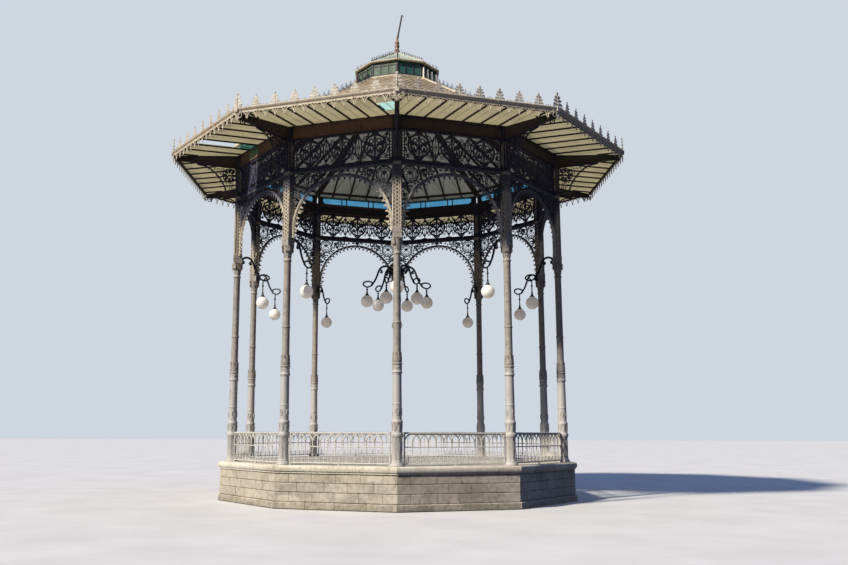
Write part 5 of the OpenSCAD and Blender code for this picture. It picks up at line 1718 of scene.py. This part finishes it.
swept_arm(arm, lambda a, b, w: np.stack([w, -(a + 0.100), b], -1), 0.060)
lamp_head(arm, 0, -CH_R, CH_Z, 0.228)
for a in CH_A:
    cha.join(arm, turn(a))
piece("middle_chandelier", cha, M_LAMP, ["chandelier"])


# ------------------------------------------------------------------ railing
def rail_bay():
    M = Mesh()
    mp = mp_bay()
    w = HS - 0.160
    bar(M, [(-w, 1.662), (-w / 2, 1.662), (0, 1.662), (w / 2, 1.662), (w, 1.662)], 0.030, 0.044, mp, sec="cham")
    bar(M, [(-w, 1.678), (0, 1.678), (w, 1.678)], 0.012, 0.034, mp)
    bar(M, [(-w, 1.361), (0, 1.361), (w, 1.361)], 0.024, 0.028, mp, sec="cham")
    bar(M, [(-w, 1.003), (0, 1.003), (w, 1.003)], 0.026, 0.030, mp, sec="cham")
    n = 13
    p = (2 * w - 0.018) / n
    for k in range(n + 1):
        x = -w + 0.009 + k * p
        if k in (0, n):
            bar(M, [(x, FLOOR + 0.002), (x, 1.3), (x, 1.66)], 0.030, 0.030, mp, sec="cham")
        else:
            bar(M, [(x, 1.005), (x, 1.2), (x, 1.361)], 0.014, 0.015, mp)
            bar(M, [(x, 1.361), (x, 1.42), (x, 1.468)], 0.032, 0.020, mp)
        dot(M, x, 1.361, 0.019, 0.036, mp, 6)
    # interlaced arches over the middle rail, each two spaces wide
    for k in range(1, n):
        x = -w + 0.009 + k * p
        bar(M, arc(x, 1.466, p, 180, 0, 15, ry=0.180), 0.033, 0.022 if k % 2 else 0.016, mp)
    for k in range(n):
        x = -w + 0.009 + (k + 0.5) * p
        for s in (-1, 1):
            P = bez([(x + s * 0.008, 1.020), (x + s * 0.062, 1.040), (x + s * 0.070, 1.120), (x + s * 0.018, 1.126), (x + s * 0.016, 1.096)], 8)
            bar(M, P, np.linspace(0.013, 0.008, 8), 0.013, mp, sec="dia")
        leaf(M, (x, 1.016), 90, 0.17, 0.024, 0.014, mp, n=5)
    # feet
    for x in (-w, 0, w):
        block(M, (x - 0.03, FLOOR + 0.001, -0.03), (x + 0.03, FLOOR + 0.014, 0.03), 0.003, mp=mp)
        bar(M, [(x, FLOOR + 0.010), (x, FLOOR + 0.03), (x, 1.0)], 0.024, 0.024, mp, sec="cham")
    return M


piece("iron_railing", around(rail_bay(), 18), M_RAIL, ["railing"])


# ------------------------------------------------------------------ window panes
def pane_bay():
    M = Mesh()
    mp = mp_bay(A + 0.005)
    z0, z1 = BEAM + 0.018, BEAM + 0.231
    r = (z1 - z0) / 2
    for x0, x1, e in ((-1.168, -0.549, -1), (-0.521, -0.389, 0), (-0.361, 0.361, 0), (0.389, 0.521, 0), (0.549, 1.168, 1)):
        if e:
            P = [(x0, z0), (x1 - r, z0)] + list(arc(x1 - r, z0 + r, r, -90, 90, 9)) + [(x0, z1)] if e > 0 else \
                [(x1, z0), (x1, z1), (x0 + r, z1)] + list(arc(x0 + r, z0 + r, r, 90, 270, 9))
            P = [q for k, q in enumerate(P) if k == 0 or math.dist(q, P[k - 1]) > 1e-6]
            if math.dist(P[0], P[-1]) < 1e-6:
                P = P[:-1]
        else:
            P = [(x0, z0), (x1, z0), (x1, z1), (x0, z1)]
        slab(M, P, -0.003, 0.003, mp, c=0.0008)
    return M


def lantern_pane_bay(m):
    M = Mesh()
    a = RHR * C18 - 0.020
    mp = mp_bay(a)
    w = (a + 0.01) * T18
    z0, z1 = RHZ + 0.076, LTOP - 0.016
    zt = z1 - 0.094
    e = [-w + 0.040, -w / 3 - 0.006, -w / 3 + 0.018, w / 3 - 0.018, w / 3 + 0.006, w - 0.040]
    for x0, x1 in ((e[0], e[1]), (e[2], e[3]), (e[4], e[5])):
        for y0, y1 in ((z0, zt - 0.009), (zt + 0.009, z1)):
            slab(M, [(x0, y0), (x1, y0), (x1, y1), (x0, y1)], -0.003, 0.003, mp, c=0.0008, m=m)
    return M


panes = around(pane_bay(), 18)
for i in range(10):
    panes.join(lantern_pane_bay(1 if i in (0, 1) else 2), turn(18 + 36 * i))
piece("window_panes", panes, [M_GLASS, M_LGLASS, M_LPALE], ["tinted_glass"])


# ------------------------------------------------------------------ CAD nodes that keep their shape
def paint_node(node, *mats):
    me = NODES[node].data
    for k in range(len(me.materials)):
        me.materials[k] = mats[min(k, len(mats) - 1)]
    if not me.materials:
        me.materials.append(mats[0])


paint_node("clerestory_frame", M_DARK)
paint_node("roof_ribs", M_TIMBER)
paint_node("roof_panels", M_UNDER)

# ------------------------------------------------------------------ floor, light, camera
fm = G("pale floor")
n1 = fm.noise(0.6, 4, 0.6)
n2 = fm.noise(40, 4, 0.6)
FLOOR_M = fm.done(fm.mix(fm.step(n1, 0.3, 0.7), srgb(214, 212, 208), srgb(204, 202, 198)), 0.85, fm.bump(n2, 0.05, 0.004))
gm = bpy.data.meshes.new("ground")
gm.from_pydata([(-90, -60, 0), (90, -60, 0), (90, 160, 0), (-90, 160, 0)], [], [(0, 1, 2, 3)])
gm.materials.append(FLOOR_M)
ground = bpy.data.objects.new("ground", gm)
bpy.context.scene.collection.objects.link(ground)
ground.location.z = -0.002
ground.visible_diffuse = False      # the light from below comes from the world, evenly
ground.visible_glossy = False
ground.visible_shadow = False
ground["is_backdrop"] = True

world = bpy.data.worlds.new("studio")
bpy.context.scene.world = world
world.use_nodes = True
wt = world.node_tree
wt.nodes.clear()
wo = wt.nodes.new("ShaderNodeOutputWorld")
bg1 = wt.nodes.new("ShaderNodeBackground")
bg2 = wt.nodes.new("ShaderNodeBackground")
lp = wt.nodes.new("ShaderNodeLightPath")
mx = wt.nodes.new("ShaderNodeMixShader")
tcw = wt.nodes.new("ShaderNodeTexCoord")
spw = wt.nodes.new("ShaderNodeSeparateXYZ")
mrw = wt.nodes.new("ShaderNodeMapRange")
crw = wt.nodes.new("ShaderNodeValToRGB")
wt.links.new(tcw.outputs["Generated"], spw.inputs[0])
wt.links.new(spw.outputs[2], mrw.inputs["Value"])
mrw.inputs["From Min"].default_value = -1.0
mrw.inputs["From Max"].default_value = 1.0
wt.links.new(mrw.outputs[0], crw.inputs[0])
SKY = [(0.0, (0.170, 0.172, 0.215)), (0.13, (0.152, 0.154, 0.195)), (0.29, (0.034, 0.038, 0.062)), (0.46, (0.012, 0.018, 0.055)), (0.62, (0.020, 0.034, 0.095)), (0.82, (0.16, 0.24, 0.46)), (1.0, (0.22, 0.32, 0.58))]
while len(crw.color_ramp.elements) < len(SKY):
    crw.color_ramp.elements.new(0.5)
for e, (pos_, col_) in zip(crw.color_ramp.elements, SKY):
    e.position = pos_
    e.color = col_ + (1.0,)
wt.links.new(crw.outputs[0], bg1.inputs[0])
bg1.inputs[1].default_value = 1.0
bg2.inputs[0].default_value = srgb(206, 214, 224)
bg2.inputs[1].default_value = 1.0
wt.links.new(lp.outputs["Is Camera Ray"], mx.inputs[0])
wt.links.new(bg1.outputs[0], mx.inputs[1])
wt.links.new(bg2.outputs[0], mx.inputs[2])
wt.links.new(mx.outputs[0], wo.inputs[0])

sun = bpy.data.lights.new("key", "SUN")
sun.energy = 5.5
sun.angle = math.radians(5)
sun.color = (1.0, 0.93, 0.82)
so = bpy.data.objects.new("key", sun)
bpy.context.scene.collection.objects.link(so)
el = math.radians(37)
d = Vector((-0.755 * math.cos(el), -0.656 * math.cos(el), math.sin(el)))
so.rotation_euler = d.to_track_quat("Z", "Y").to_euler()

# light thrown back by the sunlit ground on the left
bou = bpy.data.lights.new("bounce", "SUN")
bou.energy = 0.26
bou.angle = math.radians(50)
bou.color = (0.95, 0.93, 0.98)
bo = bpy.data.objects.new("bounce", bou)
bpy.context.scene.collection.objects.link(bo)
bo.rotation_euler = Vector((-0.46, -0.30, -0.83)).to_track_quat("Z", "Y").to_euler()

cam = bpy.data.cameras.new("camera")
cam.sensor_width = 36.0
cam.lens = 36.71
cam.shift_x = 0.04599
cam.shift_y = 0.00177
cam.clip_end = 500
co = bpy.data.objects.new("camera", cam)
bpy.context.scene.collection.objects.link(co)
yaw, pit, rol = 0.0141518, 0.168900, -0.0021964
fw = Vector((-math.sin(yaw) * math.cos(pit), math.cos(yaw) * math.cos(pit), math.sin(pit)))
rt = Vector((math.cos(yaw), math.sin(yaw), 0))
up = Vector((math.sin(yaw) * math.sin(pit), -math.cos(yaw) * math.sin(pit), math.cos(pit)))
rt2 = math.cos(rol) * rt - math.sin(rol) * up
up2 = math.sin(rol) * rt + math.cos(rol) * up
m4 = Matrix(((rt2.x, up2.x, -fw.x, 0.0), (rt2.y, up2.y, -fw.y, -23.576), (rt2.z, up2.z, -fw.z, 1.7), (0, 0, 0, 1)))
co.matrix_world = m4
bpy.context.scene.camera = co
bpy.context.scene.view_settings.view_transform = "Standard"

print("triangles:", sum(MADE.values()), {k: v for k, v in MADE.items() if v > 8000})
lo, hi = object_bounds()
